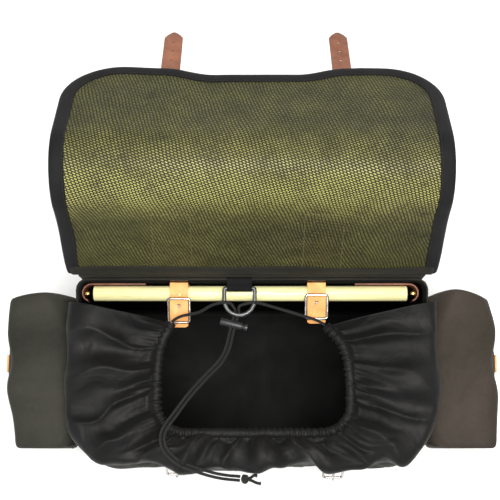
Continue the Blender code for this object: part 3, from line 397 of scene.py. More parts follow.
M = {
    "bag": canvas("bag_canvas", rgb(28, 28, 23), rgb(38, 37, 31), rgb(48, 46, 38)),
    # the pockets are one canvas in three copies: the right lid's copy is lighter and browner than the left's as
    # painted light, and the walls' copy is darker than both lids' as painted shade
    "pocket_left": canvas("pocket_canvas_left_painted_shade", rgb(33, 33, 28), rgb(46, 46, 40), rgb(55, 53, 46)),
    "pocket_right": canvas("pocket_canvas_right_painted_light", rgb(38, 36, 28), rgb(54, 48, 42), rgb(63, 55, 49)),
    "pocket_side": canvas("pocket_canvas_walls_painted_shade", rgb(26, 25, 21), rgb(36, 35, 30), rgb(44, 42, 36)),
    "lid_in": twill("lid_twill"),
    "lid_out": canvas("lid_canvas_outer", rgb(36, 35, 25), rgb(50, 48, 35), rgb(62, 59, 43)),
    "skirt": thin_cloth("skirt_cotton", rgb(13, 13, 13), rgb(24, 23, 23), 0.16),
    # the lining inside the bag: near-black, darker than the black skirt cloth; its colour is painted shade for the
    # inside of the bag
    "lining": thin_cloth("lining_painted_shade", rgb(9, 9, 9), rgb(14, 14, 14), 0.07),
    "binding": ribbed("black_binding", rgb(13, 13, 14), rgb(24, 23, 25)),
    "webbing": ribbed("black_webbing", rgb(11, 11, 12), rgb(20, 20, 22), 0.0016),
    "tan": leather("tan_leather", rgb(206, 134, 70), rgb(236, 174, 102), rgb(246, 200, 130)),
    "brown": leather("brown_leather", rgb(84, 46, 30), rgb(124, 76, 53), rgb(146, 94, 68), rough=(0.66, 0.50)),
    "dark_leather": leather("dark_leather_loops", rgb(66, 34, 22), rgb(112, 66, 44), rgb(150, 98, 66)),
    "chrome": metal("chromed_wire", rgb(196, 190, 184), 0.17, 0.55),
    "brass": metal("brass_wire", rgb(214, 178, 110), 0.24, 0.35),
    "gunmetal": metal("grey_cast_ring", rgb(104, 106, 108), 0.40, 0.35, 0.75),
    "spring": metal("spring_steel", rgb(150, 150, 152), 0.30),
    "plastic": plastic("cord_lock_plastic", rgb(30, 31, 33), 0.42),
    "wood": wood("dowel_wood"),
    "cord": braid("black_braid", rgb(13, 13, 14), rgb(44, 44, 44)),
    "thread_dark": thread_mat("dark_thread", rgb(34, 32, 24)),
    "thread_olive": thread_mat("olive_thread", rgb(84, 79, 52)),
    "thread_tan": thread_mat("tan_thread", rgb(196, 160, 110)),
    "floor": None,
}


# ---------------------------------------------------------------- mesh helpers
def link(obj):
    SCENE.collection.objects.link(obj)
    return obj


def mesh_object(name, verts, faces, material, uvs=None, smooth=True):
    """uvs is one (u, v) for each face corner, in metres, in the faces' order."""
    mesh = bpy.data.meshes.new(name)
    mesh.from_pydata([tuple(map(float, v)) for v in verts], [], faces)
    layer = mesh.uv_layers.new(name="uv")
    if uvs is not None:
        layer.data.foreach_set("uv", np.asarray(uvs, np.float32).ravel())
    mesh.polygons.foreach_set("use_smooth", [smooth] * len(mesh.polygons))
    mesh.materials.append(material)
    mesh.update()
    return link(bpy.data.objects.new(name, mesh))


def grid(name, points, material, uv=None, closed=False, caps=False, flip=False):
    """A sheet over points[row][column]; closed joins the last column to the first."""
    points = np.asarray(points, float)
    rows, cols = points.shape[:2]
    span = cols if closed else cols - 1
    if uv is None:
        wrap = np.concatenate([points, points[:, :1]], 1) if closed else points
        du = np.linalg.norm(np.diff(wrap, axis=1), axis=2).mean(0)
        dv = np.linalg.norm(np.diff(points, axis=0), axis=2).mean(1)
        u = np.concatenate([[0.0], np.cumsum(du)])
        v = np.concatenate([[0.0], np.cumsum(dv)])
        uv = np.stack(np.meshgrid(u, v), -1)
    faces, uvs = [], []
    for j in range(rows - 1):
        for i in range(span):
            k = (i + 1) % cols
            face = [j * cols + i, j * cols + k, (j + 1) * cols + k, (j + 1) * cols + i]
            cor = [uv[j][i], uv[j][i + 1], uv[j + 1][i + 1], uv[j + 1][i]]
            if flip:
                face, cor = face[::-1], cor[::-1]
            faces.append(face)
            uvs += [tuple(c) for c in cor]
    if caps:
        for row in (0, rows - 1):
            ring = [row * cols + i for i in range(cols)]
            if (row == 0) != flip:
                ring = ring[::-1]
            faces.append(ring)
            uvs += [tuple(points[row][i % cols][:2]) for i in range(cols)]
    return mesh_object(name, points.reshape(-1, 3), faces, material, uvs)


def solidify(obj, thickness, offset=0.0, even=True):
    m = obj.modifiers.new("thickness", "SOLIDIFY")
    m.thickness = thickness
    m.offset = offset
    m.use_even_offset = even
    return obj


def subdivide(obj, levels=1):
    m = obj.modifiers.new("smooth", "SUBSURF")
    m.levels = levels
    m.render_levels = levels
    return obj


def bake(obj):
    """Applies the object's modifiers to its mesh."""
    bpy.context.view_layer.update()
    graph = bpy.context.evaluated_depsgraph_get()
    made = bpy.data.meshes.new_from_object(obj.evaluated_get(graph), preserve_all_data_layers=True, depsgraph=graph)
    obj.modifiers.clear()
    if obj.data.shape_keys:
        obj.shape_key_clear()
    obj.data = made
    return obj


def join(name, objs):
    """Several meshes as one object, materials kept."""
    verts, faces, uvs, mats, index = [], [], [], [], []
    for o in objs:
        base = len(verts)
        world = np.array(o.matrix_world, float)
        co = np.array([v.co for v in o.data.vertices], float)
        verts += (co @ world[:3, :3].T + world[:3, 3]).tolist()
        slots = []
        for m in o.data.materials:
            if m not in mats:
                mats.append(m)
            slots.append(mats.index(m))
        layer = o.data.uv_layers["uv"].data
        for p in o.data.polygons:
            faces.append([base + i for i in p.vertices])
            index.append(slots[p.material_index])
            uvs += [tuple(layer[k].uv) for k in p.loop_indices]
    made = mesh_object(name, verts, faces, mats[0], uvs)
    for m in mats[1:]:
        made.data.materials.append(m)
    made.data.polygons.foreach_set("material_index", index)
    for o in objs:
        data = o.data
        bpy.data.objects.remove(o, do_unlink=True)
        bpy.data.meshes.remove(data)
    return made


def close_centre(obj):
    """Fills the small hole left in the middle of a floor whose rows shrink towards a point."""
    bm = bmesh.new()
    bm.from_mesh(obj.data)
    bm.verts.ensure_lookup_table()
    rim = [e for e in bm.edges if e.is_boundary]
    loops = {}
    for e in rim:
        mid = (e.verts[0].co + e.verts[1].co) / 2
        loops.setdefault(round(mid.z, 3), []).append(e)
    small = min(loops.values(), key=lambda es: sum(e.calc_length() for e in es))
    bmesh.ops.holes_fill(bm, edges=small, sides=0)
    bm.to_mesh(obj.data)
    bm.free()


def catmull(points, per=6):
    points = [np.asarray(p, float) for p in points]
    out = []
    for i in range(len(points) - 1):
        p1, p2 = points[i], points[i + 1]
        p0 = points[i - 1] if i else 2 * p1 - p2
        p3 = points[i + 2] if i + 2 < len(points) else 2 * p2 - p1
        for k in range(per):
            t = k / per
            out.append(0.5 * (2 * p1 + (p2 - p0) * t + (2 * p0 - 5 * p1 + 4 * p2 - p3) * t**2 + (3 * p1 - p0 - 3 * p2 + p3) * t**3))
    out.append(points[-1])
    return np.array(out)


def spaced(points, count):
    """count points, evenly spaced along the line through the given ones."""
    points = np.asarray(points, float)
    d = np.concatenate([[0.0], np.cumsum(np.linalg.norm(np.diff(points, axis=0), axis=1))])
    at = np.linspace(0.0, d[-1], count)
    return np.stack([np.interp(at, d, points[:, k]) for k in range(points.shape[1])], -1)


def length_of(points):
    points = np.asarray(points, float)
    return float(np.linalg.norm(np.diff(points, axis=0), axis=1).sum())


def sweep(name, line, ring, material, caps=True, up_hint=(0, 0, 1), scale=None, closed_line=False):
    """A tube along line, whose cross-section is ring: (side, up) pairs in metres, or a function of the row."""
    line = np.asarray(line, float)
    n = len(line)
    tang = np.gradient(line, axis=0)
    tang /= np.linalg.norm(tang, axis=1)[:, None]
    side = np.cross(tang[0], np.asarray(up_hint, float))
    if np.linalg.norm(side) < 1e-6:
        side = np.cross(tang[0], (1.0, 0.0, 0.0))
    side /= np.linalg.norm(side)
    rows = []
    for i in range(n):
        side = side - tang[i] * (side @ tang[i])
        side /= np.linalg.norm(side)
        top = np.cross(side, tang[i])
        shape = ring(i) if callable(ring) else ring
        k = 1.0 if scale is None else scale[i]
        rows.append([line[i] + (side * a + top * b) * k for a, b in shape])
    return grid(name, rows, material, closed=True, caps=caps, flip=True)


def circle(radius, count=12):
    return [(radius * math.cos(2 * math.pi * i / count), radius * math.sin(2 * math.pi * i / count)) for i in range(count)]


def bumps(points, scale, amount, seed=0.0):
    """Smooth noise at each point, from -amount to +amount."""
    flat = np.asarray(points, float).reshape(-1, 3)
    out = np.array([noise.noise(Vector(p * scale) + Vector((seed, -seed * 0.7, seed * 1.3))) for p in flat])
    return out.reshape(np.asarray(points).shape[:-1]) * amount


def normals_of(points, closed=False):
    p = np.asarray(points, float)
    if closed:
        du = np.roll(p, -1, 1) - np.roll(p, 1, 1)
    else:
        du = np.gradient(p, axis=1)
    dv = np.gradient(p, axis=0)
    n = np.cross(du, dv)
    return n / np.maximum(np.linalg.norm(n, axis=2), 1e-12)[..., None]


def smoothstep(x):
    x = np.clip(x, 0.0, 1.0)
    return x * x * (3 - 2 * x)


def simulate(obj, pinned, frames=24, rest=None, bending=0.4, stretch=15.0, shrink=0.0, gravity=0.0, quality=5, mass=0.2, self_hit=False):
    """Blender's cloth run on obj; pinned holds one weight for each vertex. The result goes back into the mesh."""
    group = obj.vertex_groups.new(name="pin")
    for i, w in enumerate(pinned):
        if w > 0:
            group.add([i], float(w), "REPLACE")
    if rest is not None:
        obj.shape_key_add(name="Basis")
        key = obj.shape_key_add(name="Rest")
        key.data.foreach_set("co", np.asarray(rest, np.float32).ravel())
    mod = obj.modifiers.new("cloth", "CLOTH")
    s = mod.settings
    s.quality = quality
    s.mass = mass
    s.tension_stiffness = stretch
    s.compression_stiffness = stretch
    s.shear_stiffness = stretch * 0.3
    s.bending_stiffness = bending
    s.tension_damping = s.compression_damping = 8.0
    s.shear_damping = 8.0
    s.air_damping = 2.0
    s.vertex_group_mass = "pin"
    s.pin_stiffness = 1.0
    s.shrink_min = shrink
    s.effector_weights.gravity = gravity
    if rest is not None:
        s.rest_shape_key = obj.data.shape_keys.key_blocks["Rest"]
    mod.collision_settings.use_collision = False
    mod.collision_settings.use_self_collision = self_hit
    if self_hit:
        mod.collision_settings.self_distance_min = 0.0012
    mod.point_cache.frame_start = 1
    mod.point_cache.frame_end = frames
    for f in range(1, frames + 1):
        SCENE.frame_set(f)
    graph = bpy.context.evaluated_depsgraph_get()
    done = obj.evaluated_get(graph)
    co = np.zeros(len(done.data.vertices) * 3, np.float32)
    done.data.vertices.foreach_get("co", co)
    obj.modifiers.remove(mod)
    if rest is not None:
        obj.shape_key_clear()
    obj.vertex_groups.clear()
    SCENE.frame_set(1)
    obj.data.vertices.foreach_set("co", co)
    obj.data.update()
    return co.reshape(-1, 3).astype(float)


def stitches(name, line, outward, material, pitch=0.0036, long=0.0024, radius=0.00032, lift=0.00025, sink=0.0):
    """A row of thread stitches along line; outward gives the surface's normal at each point."""
    line = np.asarray(line, float)
    outward = np.asarray(outward, float)
    if outward.ndim == 1:
        outward = np.repeat(outward[None], len(line), 0)
    total = length_of(line)
    count = max(2, int(total / pitch))
    d = np.concatenate([[0.0], np.cumsum(np.linalg.norm(np.diff(line, axis=0), axis=1))])
    verts, faces, uvs = [], [], []
    ring_n = 6
    for k in range(count):
        mid = (k + 0.5) * total / count
        base = len(verts)
        for s in (-0.5, -0.3, 0.0, 0.3, 0.5):
            at = mid + s * long
            p = np.array([np.interp(at, d, line[:, c]) for c in range(3)])
            n = np.array([np.interp(at, d, outward[:, c]) for c in range(3)])
            n /= np.linalg.norm(n)
            q = np.array([np.interp(at + 1e-4, d, line[:, c]) for c in range(3)]) - np.array([np.interp(at - 1e-4, d, line[:, c]) for c in range(3)])
            q /= max(np.linalg.norm(q), 1e-9)
            side = np.cross(q, n)
            centre = p + n * (lift * (1.0 - (2 * s) ** 2 * 1.6) - sink)
            r = radius * (0.55 if abs(s) > 0.4 else 1.0)
            for i in range(ring_n):
                a = 2 * math.pi * i / ring_n
                verts.append(centre + side * (r * math.cos(a)) + n * (r * math.sin(a)))
        for j in range(4):
            for i in range(ring_n):
                m = (i + 1) % ring_n
                faces.append([base + j * ring_n + i, base + (j + 1) * ring_n + i, base + (j + 1) * ring_n + m, base + j * ring_n + m])
        faces.append([base + i for i in range(ring_n)])
        faces.append([base + 4 * ring_n + i for i in range(ring_n)][::-1])
    uvs = [(0.0, 0.0)] * sum(len(f) for f in faces)
    return mesh_object(name, verts, faces, material, uvs)


# ---------------------------------------------------------------- floor
floor_tree = Tree("pale_floor", 0.9)
f_obj, _ = floor_tree.place()
floor_tone = floor_tree.ramp(floor_tree.noise(f_obj, 3.0, 2.0), ((0.3, (0.90, 0.90, 0.90, 1.0)), (0.7, (0.93, 0.93, 0.93, 1.0))))
floor = mesh_object("floor", [(-6, -6, 0), (6, -6, 0), (6, 6, 0), (-6, 6, 0)], [[0, 1, 2, 3]], floor_tree.done(floor_tone), [(0, 0), (1, 0), (1, 1), (0, 1)])

# ---------------------------------------------------------------- cords: the route is the CAD solids' own
CORD_R = 0.0015
CORD_STEP = 0.0038
HEM_Z = 0.2770
RING = (-0.0130, 0.0815, 0.2640)
RING_ROD, RING_HALF, RING_LEN = 0.0021, 0.0159, 0.0284
LOCK_C = Vector((-0.0192, 0.0440, 0.2590))
LOCK_A = Vector((0.970, -0.243, 0.0)).normalized()
LOCK_D = Vector((-0.243, -0.970, 0.0)).normalized()
HEM = [(-0.0820, 0.0440), (-0.0915, 0.0250), (-0.0955, 0.0050), (-0.0965, -0.0160), (-0.0965, -0.0370)]
for i in range(1, 6):
    a = math.radians(180 + 15 * i)
    HEM.append((-0.0965 + 0.030 * (1 + math.cos(a)), -0.067 + 0.030 * (1 + math.sin(a))))
for i in range(9):
    HEM.append((-0.0665 + 0.136 * i / 8, -0.0670))
for i in range(1, 6):
    a = math.radians(270 + 15 * i)
    HEM.append((0.0695 + 0.030 * math.cos(a), -0.067 + 0.030 * (1 + math.sin(a))))
HEM += [(0.0995, -0.0370), (0.0995, -0.0160), (0.0970, 0.0050), (0.0905, 0.0240), (0.0750, 0.0410)]
HEM3 = [Vector((x, y, HEM_Z)) for x, y in HEM]
FIRST_DIR = (HEM3[0] - HEM3[1]).normalized()
LAST_DIR = (HEM3[-1] - HEM3[-2]).normalized()
PULL = (
    (-0.0330, 0.0050, 0.2600), (-0.0480, -0.0110, 0.2650), (-0.0640, -0.0300, 0.2760), (-0.0765, -0.0480, 0.2868),
    (-0.0850, -0.0600, 0.2925), (-0.0885, -0.0690, 0.2945), (-0.0875, -0.0790, 0.2950), (-0.0815, -0.0880, 0.2948),
    (-0.0700, -0.0965, 0.2937), (-0.0560, -0.1020, 0.2922), (-0.0400, -0.1070, 0.2888), (-0.0260, -0.1098, 0.2850),
    (-0.0120, -0.1112, 0.2822),
)
ring_far = Vector((RING[0] - 0.0036, RING[1] - RING_LEN, RING[2]))


def strand(shift):
    off = LOCK_A * shift
    under = Vector((ring_far.x, ring_far.y, RING[2] - RING_ROD - CORD_R - 0.0005)) + off
    return [under - LOCK_D * 0.0045, under + LOCK_D * 0.0010, LOCK_C + off - LOCK_D * 0.0048, LOCK_C + off,
            LOCK_C + off + LOCK_D * 0.0120, LOCK_C + off + LOCK_D * 0.0260]


def doubled(route, shift):
    out = []
    for i, p in enumerate(route):
        a, b = Vector(route[max(i - 1, 0)]), Vector(route[min(i + 1, len(route) - 1)])
        out.append(Vector(p) + (b - a).normalized().cross(Vector((0, 0, 1))).normalized() * shift)
    return out


CORD_LENGTHS = {}
cords = []
for side, s in (("left", -1), ("right", 1)):
    shift = s * CORD_STEP / 2
    hem = HEM3[0] if s < 0 else HEM3[-1]
    out_dir = FIRST_DIR if s < 0 else LAST_DIR
    rod_x = RING[0] + s * RING_HALF
    start = hem + out_dir * 0.0005
    route = [
        start, start + out_dir * 0.0030 + Vector((-s * 0.0010, 0, 0)), hem + Vector((-s * 0.0110, 0.0072 if s < 0 else 0.0064, -0.0005)),
        Vector((s * 0.055, 0.0548 if s < 0 else 0.0505, 0.2745)),
        Vector((rod_x + s * 0.012, 0.0630, RING[2] + 0.0060)),
        Vector((rod_x, 0.0660, RING[2] + RING_ROD + CORD_R + 0.0007)),
        Vector((rod_x - s * 0.0058, 0.0655, RING[2] + 0.0026)),
        Vector((ring_far.x + s * 0.0035, 0.0628, RING[2] - 0.0010)),
    ] + strand(shift) + doubled(PULL, -shift)
    dense = catmull([tuple(p) for p in route], 6)
    line = spaced(dense, int(length_of(dense) / 0.0011))
    for _ in range(3):
        line[1:-1] = line[1:-1] * 0.5 + (line[:-2] + line[2:]) * 0.25
    cord = sweep(f"drawcord_{side}_braid", line, circle(CORD_R, 10), M["cord"])
    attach(cord, "bag")
    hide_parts(f"drawcord_{side}")
    cords.append((cord, line))

# the knot: an overhand wrap with the two cut ends beyond it
end = Vector(PULL[-1])
pull_dir = (end - Vector(PULL[-2])).normalized()
knot_c = end + pull_dir * 0.0050
across = pull_dir.cross(Vector((0, 0, 1))).normalized()
lifted = across.cross(pull_dir)
wrap = []
for i in range(61):
    a = 2 * math.pi * i / 60
    r = 0.0026 + 0.0009 * math.cos(3 * a)
    wrap.append(knot_c + pull_dir * (0.0021 * math.sin(2 * a)) + across * (r * math.cos(a * 2) * 0.95) + lifted * (r * math.sin(a * 3) * 0.80))
knot_parts = [sweep("knot_wrap", [tuple(p) for p in wrap], circle(0.00165, 10), M["cord"])]
body = []
for k in range(10):
    a = math.pi * k / 9
    rr = 0.0030 * math.sin(a) + 0.0002
    body.append([tuple(knot_c + pull_dir * (-0.0034 * math.cos(a)) + across * (rr * math.cos(b)) + lifted * (rr * 0.9 * math.sin(b))) for b in (2 * math.pi * i / 12 for i in range(12))])
knot_parts.append(grid("knot_core", body, M["cord"], closed=True, caps=True))
for n, (turn_x, drop, reach) in enumerate(((0.22, -0.10, 0.0150), (-0.42, -0.22, 0.0110))):
    a = knot_c + pull_dir * 0.0020
    d = (pull_dir + across * turn_x + Vector((0, 0, drop))).normalized()
    tail = catmull([tuple(a), tuple(a + d * reach * 0.35), tuple(a + d * reach * 0.7 + across * turn_x * 0.003), tuple(a + d * reach)], 5)
    knot_parts.append(sweep(f"knot_tail_{n}", tail, circle(CORD_R, 10), M["cord"], scale=np.concatenate([np.ones(len(tail) - 3), [1.02, 1.18, 1.26]])))
knot = join("drawcord_knot_tied", knot_parts)
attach(knot, "bag")
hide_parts("drawcord_knot")
for (cord, line), side in zip(cords, ("left", "right")):
    CORD_LENGTHS[side] = length_of(line)

hidden_line = spaced(catmull([tuple(p) for p in HEM3], 5), 150)[1:-1]
hidden = sweep("drawcord_hem_run_braid", hidden_line, circle(CORD_R, 8), M["cord"])
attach(hidden, "bag")
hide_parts("drawcord_hem_run")

SQUASHED = [c for c, _ in cords] + [knot, hidden]

# ---------------------------------------------------------------- drawstring skirt
HALF_W, FRONT_Y, CORNER_R, RIM_Z = 0.183, -0.100, 0.040, 0.262
RIM, OUT = [], []
for t in (0.0, 0.25, 0.5, 0.75, 1.0):
    RIM.append((-HALF_W, 0.0655 + (FRONT_Y + CORNER_R - 0.0655) * t))
    OUT.append((-1.0, 0.0))
for i in range(1, 6):
    a = math.radians(180 + 15 * i)
    RIM.append((-HALF_W + CORNER_R * (1 + math.cos(a)), FRONT_Y + CORNER_R * (1 + math.sin(a))))
    OUT.append((math.cos(a), math.sin(a)))
for x in (-0.143, -0.107, -0.0715, -0.036, 0.0, 0.036, 0.0715, 0.107, 0.143):
    RIM.append((x, FRONT_Y))
    OUT.append((0.0, -1.0))
for i in range(1, 6):
    a = math.radians(270 + 15 * i)
    RIM.append((HALF_W - CORNER_R + CORNER_R * math.cos(a), FRONT_Y + CORNER_R * (1 + math.sin(a))))
    OUT.append((math.cos(a), math.sin(a)))
for t in (0.0, 0.25, 0.5, 0.75, 1.0):
    RIM.append((HALF_W, FRONT_Y + CORNER_R + (0.0655 - FRONT_Y - CORNER_R) * t))
    OUT.append((1.0, 0.0))


def slump(points):
    """The soft bag's upper front: rounder corners, and two hollows where the lid straps pull when the bag is carried.
    """
    p = np.array(points, float)
    x, y, z = p[..., 0], p[..., 1], p[..., 2]
    up_here = smoothstep((z - 0.160) / 0.070)
    face = smoothstep((-y - 0.070) / 0.026)
    hollow = 0.0074 * smoothstep((x + 0.160) / 0.030) * smoothstep((-0.058 - x) / 0.030) + 0.0060 * smoothstep((x - 0.004) / 0.020) * smoothstep((0.078 - x) / 0.022)
    hollow += np.exp(-(((x - 0.090) / 0.020) ** 2)) * 0.0030 + 0.0068 * smoothstep((x - 0.106) / 0.022) * smoothstep((0.160 - x) / 0.030)
    dx, dy = np.maximum(np.abs(x) - 0.128, 0.0), np.maximum(-0.045 - y, 0.0)
    r = np.maximum(np.hypot(dx, dy), 1e-6)
    pull = 0.0105 * (4.0 * dx * dy / r**2 / 2.0) ** 1.2 * smoothstep((r - 0.018) / 0.030)
    p[..., 1] += (face * hollow + pull * dy / r) * up_here
    p[..., 0] -= np.sign(x) * pull * dx / r * up_here
    return p


SKIRT_ROWS = ((0.0, 0.2440, 0.0012), (0.0, 0.2570, 0.0014), (0.0, 0.2680, 0.0042), (0.0, 0.2785, 0.0056), (0.06, 0.2865, 0.0040),
              (0.22, 0.2900, 0.0), (0.45, 0.2890, 0.0), (0.70, 0.2850, 0.0), (1.0, 0.2778, 0.0))
control = []
for k, (share, z, out) in enumerate(SKIRT_ROWS):
    row = []
    for (rx, ry), (hx, hy), (ox, oy) in zip(RIM, HEM, OUT):
        if k == len(SKIRT_ROWS) - 1:
            row.append((hx + ox * 0.0035, hy + oy * 0.0035, z))
        else:
            row.append((rx + (hx - rx) * share + ox * out, ry + (hy - ry) * share + oy * out, z))
    control.append(row)
NU, NV = ((290, 46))
lines = [spaced(catmull(row, 6), NU) for row in control]
columns = np.stack(lines)
skirt_p = np.stack([spaced(catmull(columns[:, i], 6), NV) for i in range(NU)], 1)
rim_len = length_of(skirt_p[0])
# the flat cut: a straight strip as long as the rim, a little taller than the way to the hem
tall = np.array([length_of(skirt_p[:, i]) for i in range(NU)])
smooth_tall = np.convolve(np.pad(tall, 12, mode="edge"), np.ones(25) / 25, "valid")
rest = np.zeros_like(skirt_p)
rest[..., 0] = np.linspace(0, rim_len * 1.03, NU)[None]
rest[..., 2] = np.linspace(0, 1, NV)[:, None] * (np.maximum(smooth_tall, 0.085) * 1.05)[None]
normal = normals_of(skirt_p)
up_fix = np.sign((normal * np.array([0, 0, 1.0])).sum(2).mean())
normal *= up_fix
share = np.linspace(0, 1, NV)[:, None]
phase = np.linspace(0, 1, NU)[None] * rim_len
fold = np.zeros((NV, NU))
for pitch, amount, seed, near, creased in ((0.082, 0.0060, 1.1, 0.14, False), (0.047, 0.0056, 2.7, 0.20, True), (0.025, 0.0020, 4.9, 0.42, False), (0.0078, 0.0009, 7.7, 0.70, False)):
    drift = bumps(skirt_p, 9.0 + 30 * seed / 7.7, 3.4, seed)
    near_hem = smoothstep((share - near) / 0.40)
    turn = phase * 2 * math.pi / pitch + drift + seed
    swing = 1.0 - 2.0 * np.abs(np.sin(turn / 2)) ** 0.8 if creased else np.sin(turn)
    fold += swing * amount * near_hem
inside = smoothstep(share / 0.22) * smoothstep((1 - share) / 0.03)
start_p = skirt_p + normal * (fold * inside + bumps(skirt_p, 22.0, 0.0030, 3.0) * inside)[..., None]
start_p = slump(start_p)
skirt = grid("drawstring_skirt_cloth", start_p, M["skirt"], uv=rest[..., [0, 2]])
pins = np.zeros((NV, NU))
pins[: max(4, NV // 9)] = 1.0
pins[-1] = 1.0
co = simulate(skirt, pins.ravel(), frames=26, rest=rest.reshape(-1, 3), bending=0.12, stretch=12.0, gravity=0.0, quality=6)
co = co.reshape(NV, NU, 3)
# the cloth stays near the CAD skirt's surface
calm_p = slump(skirt_p)
move = co - calm_p
off = (move * normal).sum(2)
along = move - normal * off[..., None]
al = np.linalg.norm(along, axis=2)
along *= np.minimum(1.0, 0.006 / np.maximum(al, 1e-9))[..., None]
off = 0.0085 * np.tanh(off / 0.0085)
co = calm_p + along + normal * off[..., None]
skirt.data.vertices.foreach_set("co", co.astype(np.float32).ravel())
solidify(skirt, 0.0007)
subdivide(skirt, 1)
bake(skirt)
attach(skirt, "bag")
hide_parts("drawstring_skirt")
SQUASHED.append(skirt)

# hem channel: a soft tube drawn into small gathers by the cord
chan_line = spaced(catmull([tuple(p) for p in HEM3], 8), 420)
chan_len = length_of(chan_line)
gather_drift = bumps(chan_line[:, None, :], 26.0, 1.6, 5.0)[:, 0]
at = np.linspace(0, chan_len, len(chan_line))
front_share = smoothstep((0.078 - np.abs(chan_line[:, 0])) / 0.030) * (chan_line[:, 1] < -0.05)
amount = 0.0017 * (1 - 0.45 * front_share)
gath = np.sin(at * 2 * math.pi / 0.0062 + gather_drift * 2.2) + 0.5 * np.sin(at * 2 * math.pi / 0.0037 + gather_drift * 3.1)
pinch = np.array([noise.noise(Vector((d * 190.0, 3.1, 0.0))) for d in at])


def channel_ring(i):
    out = []
    for k in range(16):
        a = 2 * math.pi * k / 16
        r = 0.0046 + amount[i] * (gath[i] * math.cos(a * 0.5 + i * 0.02) ** 2 * 0.7 + pinch[i] * math.sin(a + i * 0.4))
        out.append((r * 1.06 * math.cos(a), r * 0.94 * math.sin(a)))
    return out


channel = sweep("hem_channel_gathered", chan_line, channel_ring, M["skirt"], caps=False)
solidify(channel, 0.0006, -1.0)
bake(channel)
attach(channel, "bag")
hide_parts("hem_channel")
SQUASHED.append(channel)

# ---------------------------------------------------------------- lid
HINGE = np.array([0.0945, 0.2735])
TOP_DIR = np.array([math.cos(math.radians(72)), math.sin(math.radians(72))])
FLAP_DIR = np.array([math.cos(math.radians(-38)), math.sin(math.radians(-38))])
TOP_L, FLAP_L, LID_W, LID_CORNER = 0.196, 0.165, 0.181, 0.055
LID_STRAP_X = (-0.081, 0.089)
RIDGE = HINGE + TOP_DIR * TOP_L
BEND_R = 0.042
cut = BEND_R * math.tan(math.radians(55.0))
bend_in, bend_out = RIDGE - TOP_DIR * cut, RIDGE + FLAP_DIR * cut
centre = bend_in + np.array([TOP_DIR[1], -TOP_DIR[0]]) * BEND_R
prof = [HINGE + TOP_DIR * (0.004 + (TOP_L - cut - 0.004) * k / 12) for k in range(13)]
for k in range(1, 17):
    a = math.radians(162 - 110 * k / 16)
    prof.append(centre + BEND_R * np.array([math.cos(a), math.sin(a)]))
prof += [bend_out + FLAP_DIR * ((FLAP_L - cut) * k / 10) for k in range(1, 11)]
prof = spaced(np.array(prof), 400)
LID_LEN = length_of(prof)
prof_d = np.linspace(0, LID_LEN, len(prof))
prof_t = np.gradient(prof, axis=0)
prof_t /= np.linalg.norm(prof_t, axis=1)[:, None]


def dip(x):
    """How far the front edge of the flap is cut back in its middle."""
    return 0.0115 * float(smoothstep((0.090 - abs(x - 0.004)) / 0.050)) - 0.0022 * math.exp(-(((x + 0.128) / 0.028) ** 2))


def lid_point(x, s, h=0.0, wave=True):
    """A point of the lid: x across, s along from the hinge, h towards the inner face."""
    k = min(max(s, 0.0), LID_LEN)
    y, z = np.interp(k, prof_d, prof[:, 0]), np.interp(k, prof_d, prof[:, 1])
    ty, tz = np.interp(k, prof_d, prof_t[:, 0]), np.interp(k, prof_d, prof_t[:, 1])
    y, z = y + ty * (s - k), z + tz * (s - k)
    ny, nz = -tz, ty  # towards the inner face
    if wave:
        q = s / LID_LEN
        near = float(smoothstep(q / 0.06)) * (1.0 - 0.5 * float(smoothstep((q - 0.55) / 0.2)))
        under = max(float(smoothstep((0.019 - abs(x - c)) / 0.010)) for c in LID_STRAP_X) * float(smoothstep((s - LID_LEN + 0.125) / 0.020))
        strap_calm = 1.0 - 0.97 * under
        soft = noise.noise(Vector((x * 9.0, s * 7.0, 1.7))) * 0.0038 + noise.noise(Vector((x * 24.0, s * 17.0, 5.1))) * 0.0011
        h = h + soft * near * strap_calm
    x = x * (1.0 + 0.042 * (1.0 - float(smoothstep(s / 0.135))) * float(smoothstep((s + 0.010) / 0.014)))
    return np.array([x, y + ny * h, z + nz * h])


def lid_edge(angle_count=9):
    """The outline in (x, s), from the left of the hinge round to the right of it."""
    left = [(-LID_W, s) for s in np.linspace(0.002, LID_LEN - LID_CORNER, 34)]
    for i in range(1, angle_count + 1):
        a = math.radians(180 - 90 * i / angle_count)
        x = -LID_W + LID_CORNER * (1 + math.cos(a))
        left.append((x, LID_LEN - LID_CORNER + LID_CORNER * math.sin(a)))
    mid = [(x, LID_LEN) for x in np.linspace(-LID_W + LID_CORNER, LID_W - LID_CORNER, 36)[1:-1]]
    right = [(-x, s) for x, s in left[::-1]]
    return [(x, s - dip(x) * float(smoothstep((s - LID_LEN + 0.11) / 0.11))) for x, s in left + mid + right]


s_rows = list(np.linspace(0.0, LID_LEN - LID_CORNER, 74))
s_rows += [LID_LEN - LID_CORNER + LID_CORNER * math.sin(math.radians(90 * i / 14)) for i in range(1, 15)]
s_rows[-1] = LID_LEN - 0.0004
lid_pts, lid_uv = [], []
for s in s_rows:
    w = LID_W
    if s > LID_LEN - LID_CORNER:
        w = LID_W - LID_CORNER + math.sqrt(max(LID_CORNER**2 - (s - LID_LEN + LID_CORNER) ** 2, 0.0))
    w -= 0.0010
    row, uvr = [], []
    for x in np.linspace(-w, w, 90):
        ss = s - dip(x) * float(smoothstep((s - LID_LEN + 0.11) / 0.11)) - (0.001 if s > LID_LEN - 0.01 else 0.0)
        row.append(lid_point(x, ss))
        uvr.append((x, ss))
    lid_pts.append(row)
    lid_uv.append(uvr)
lid_pts = np.array(lid_pts)
lid_n = normals_of(lid_pts)
if (lid_n[10, 40] @ np.array([0.0, -1.0, 0.0])) < 0:
    lid_n = -lid_n
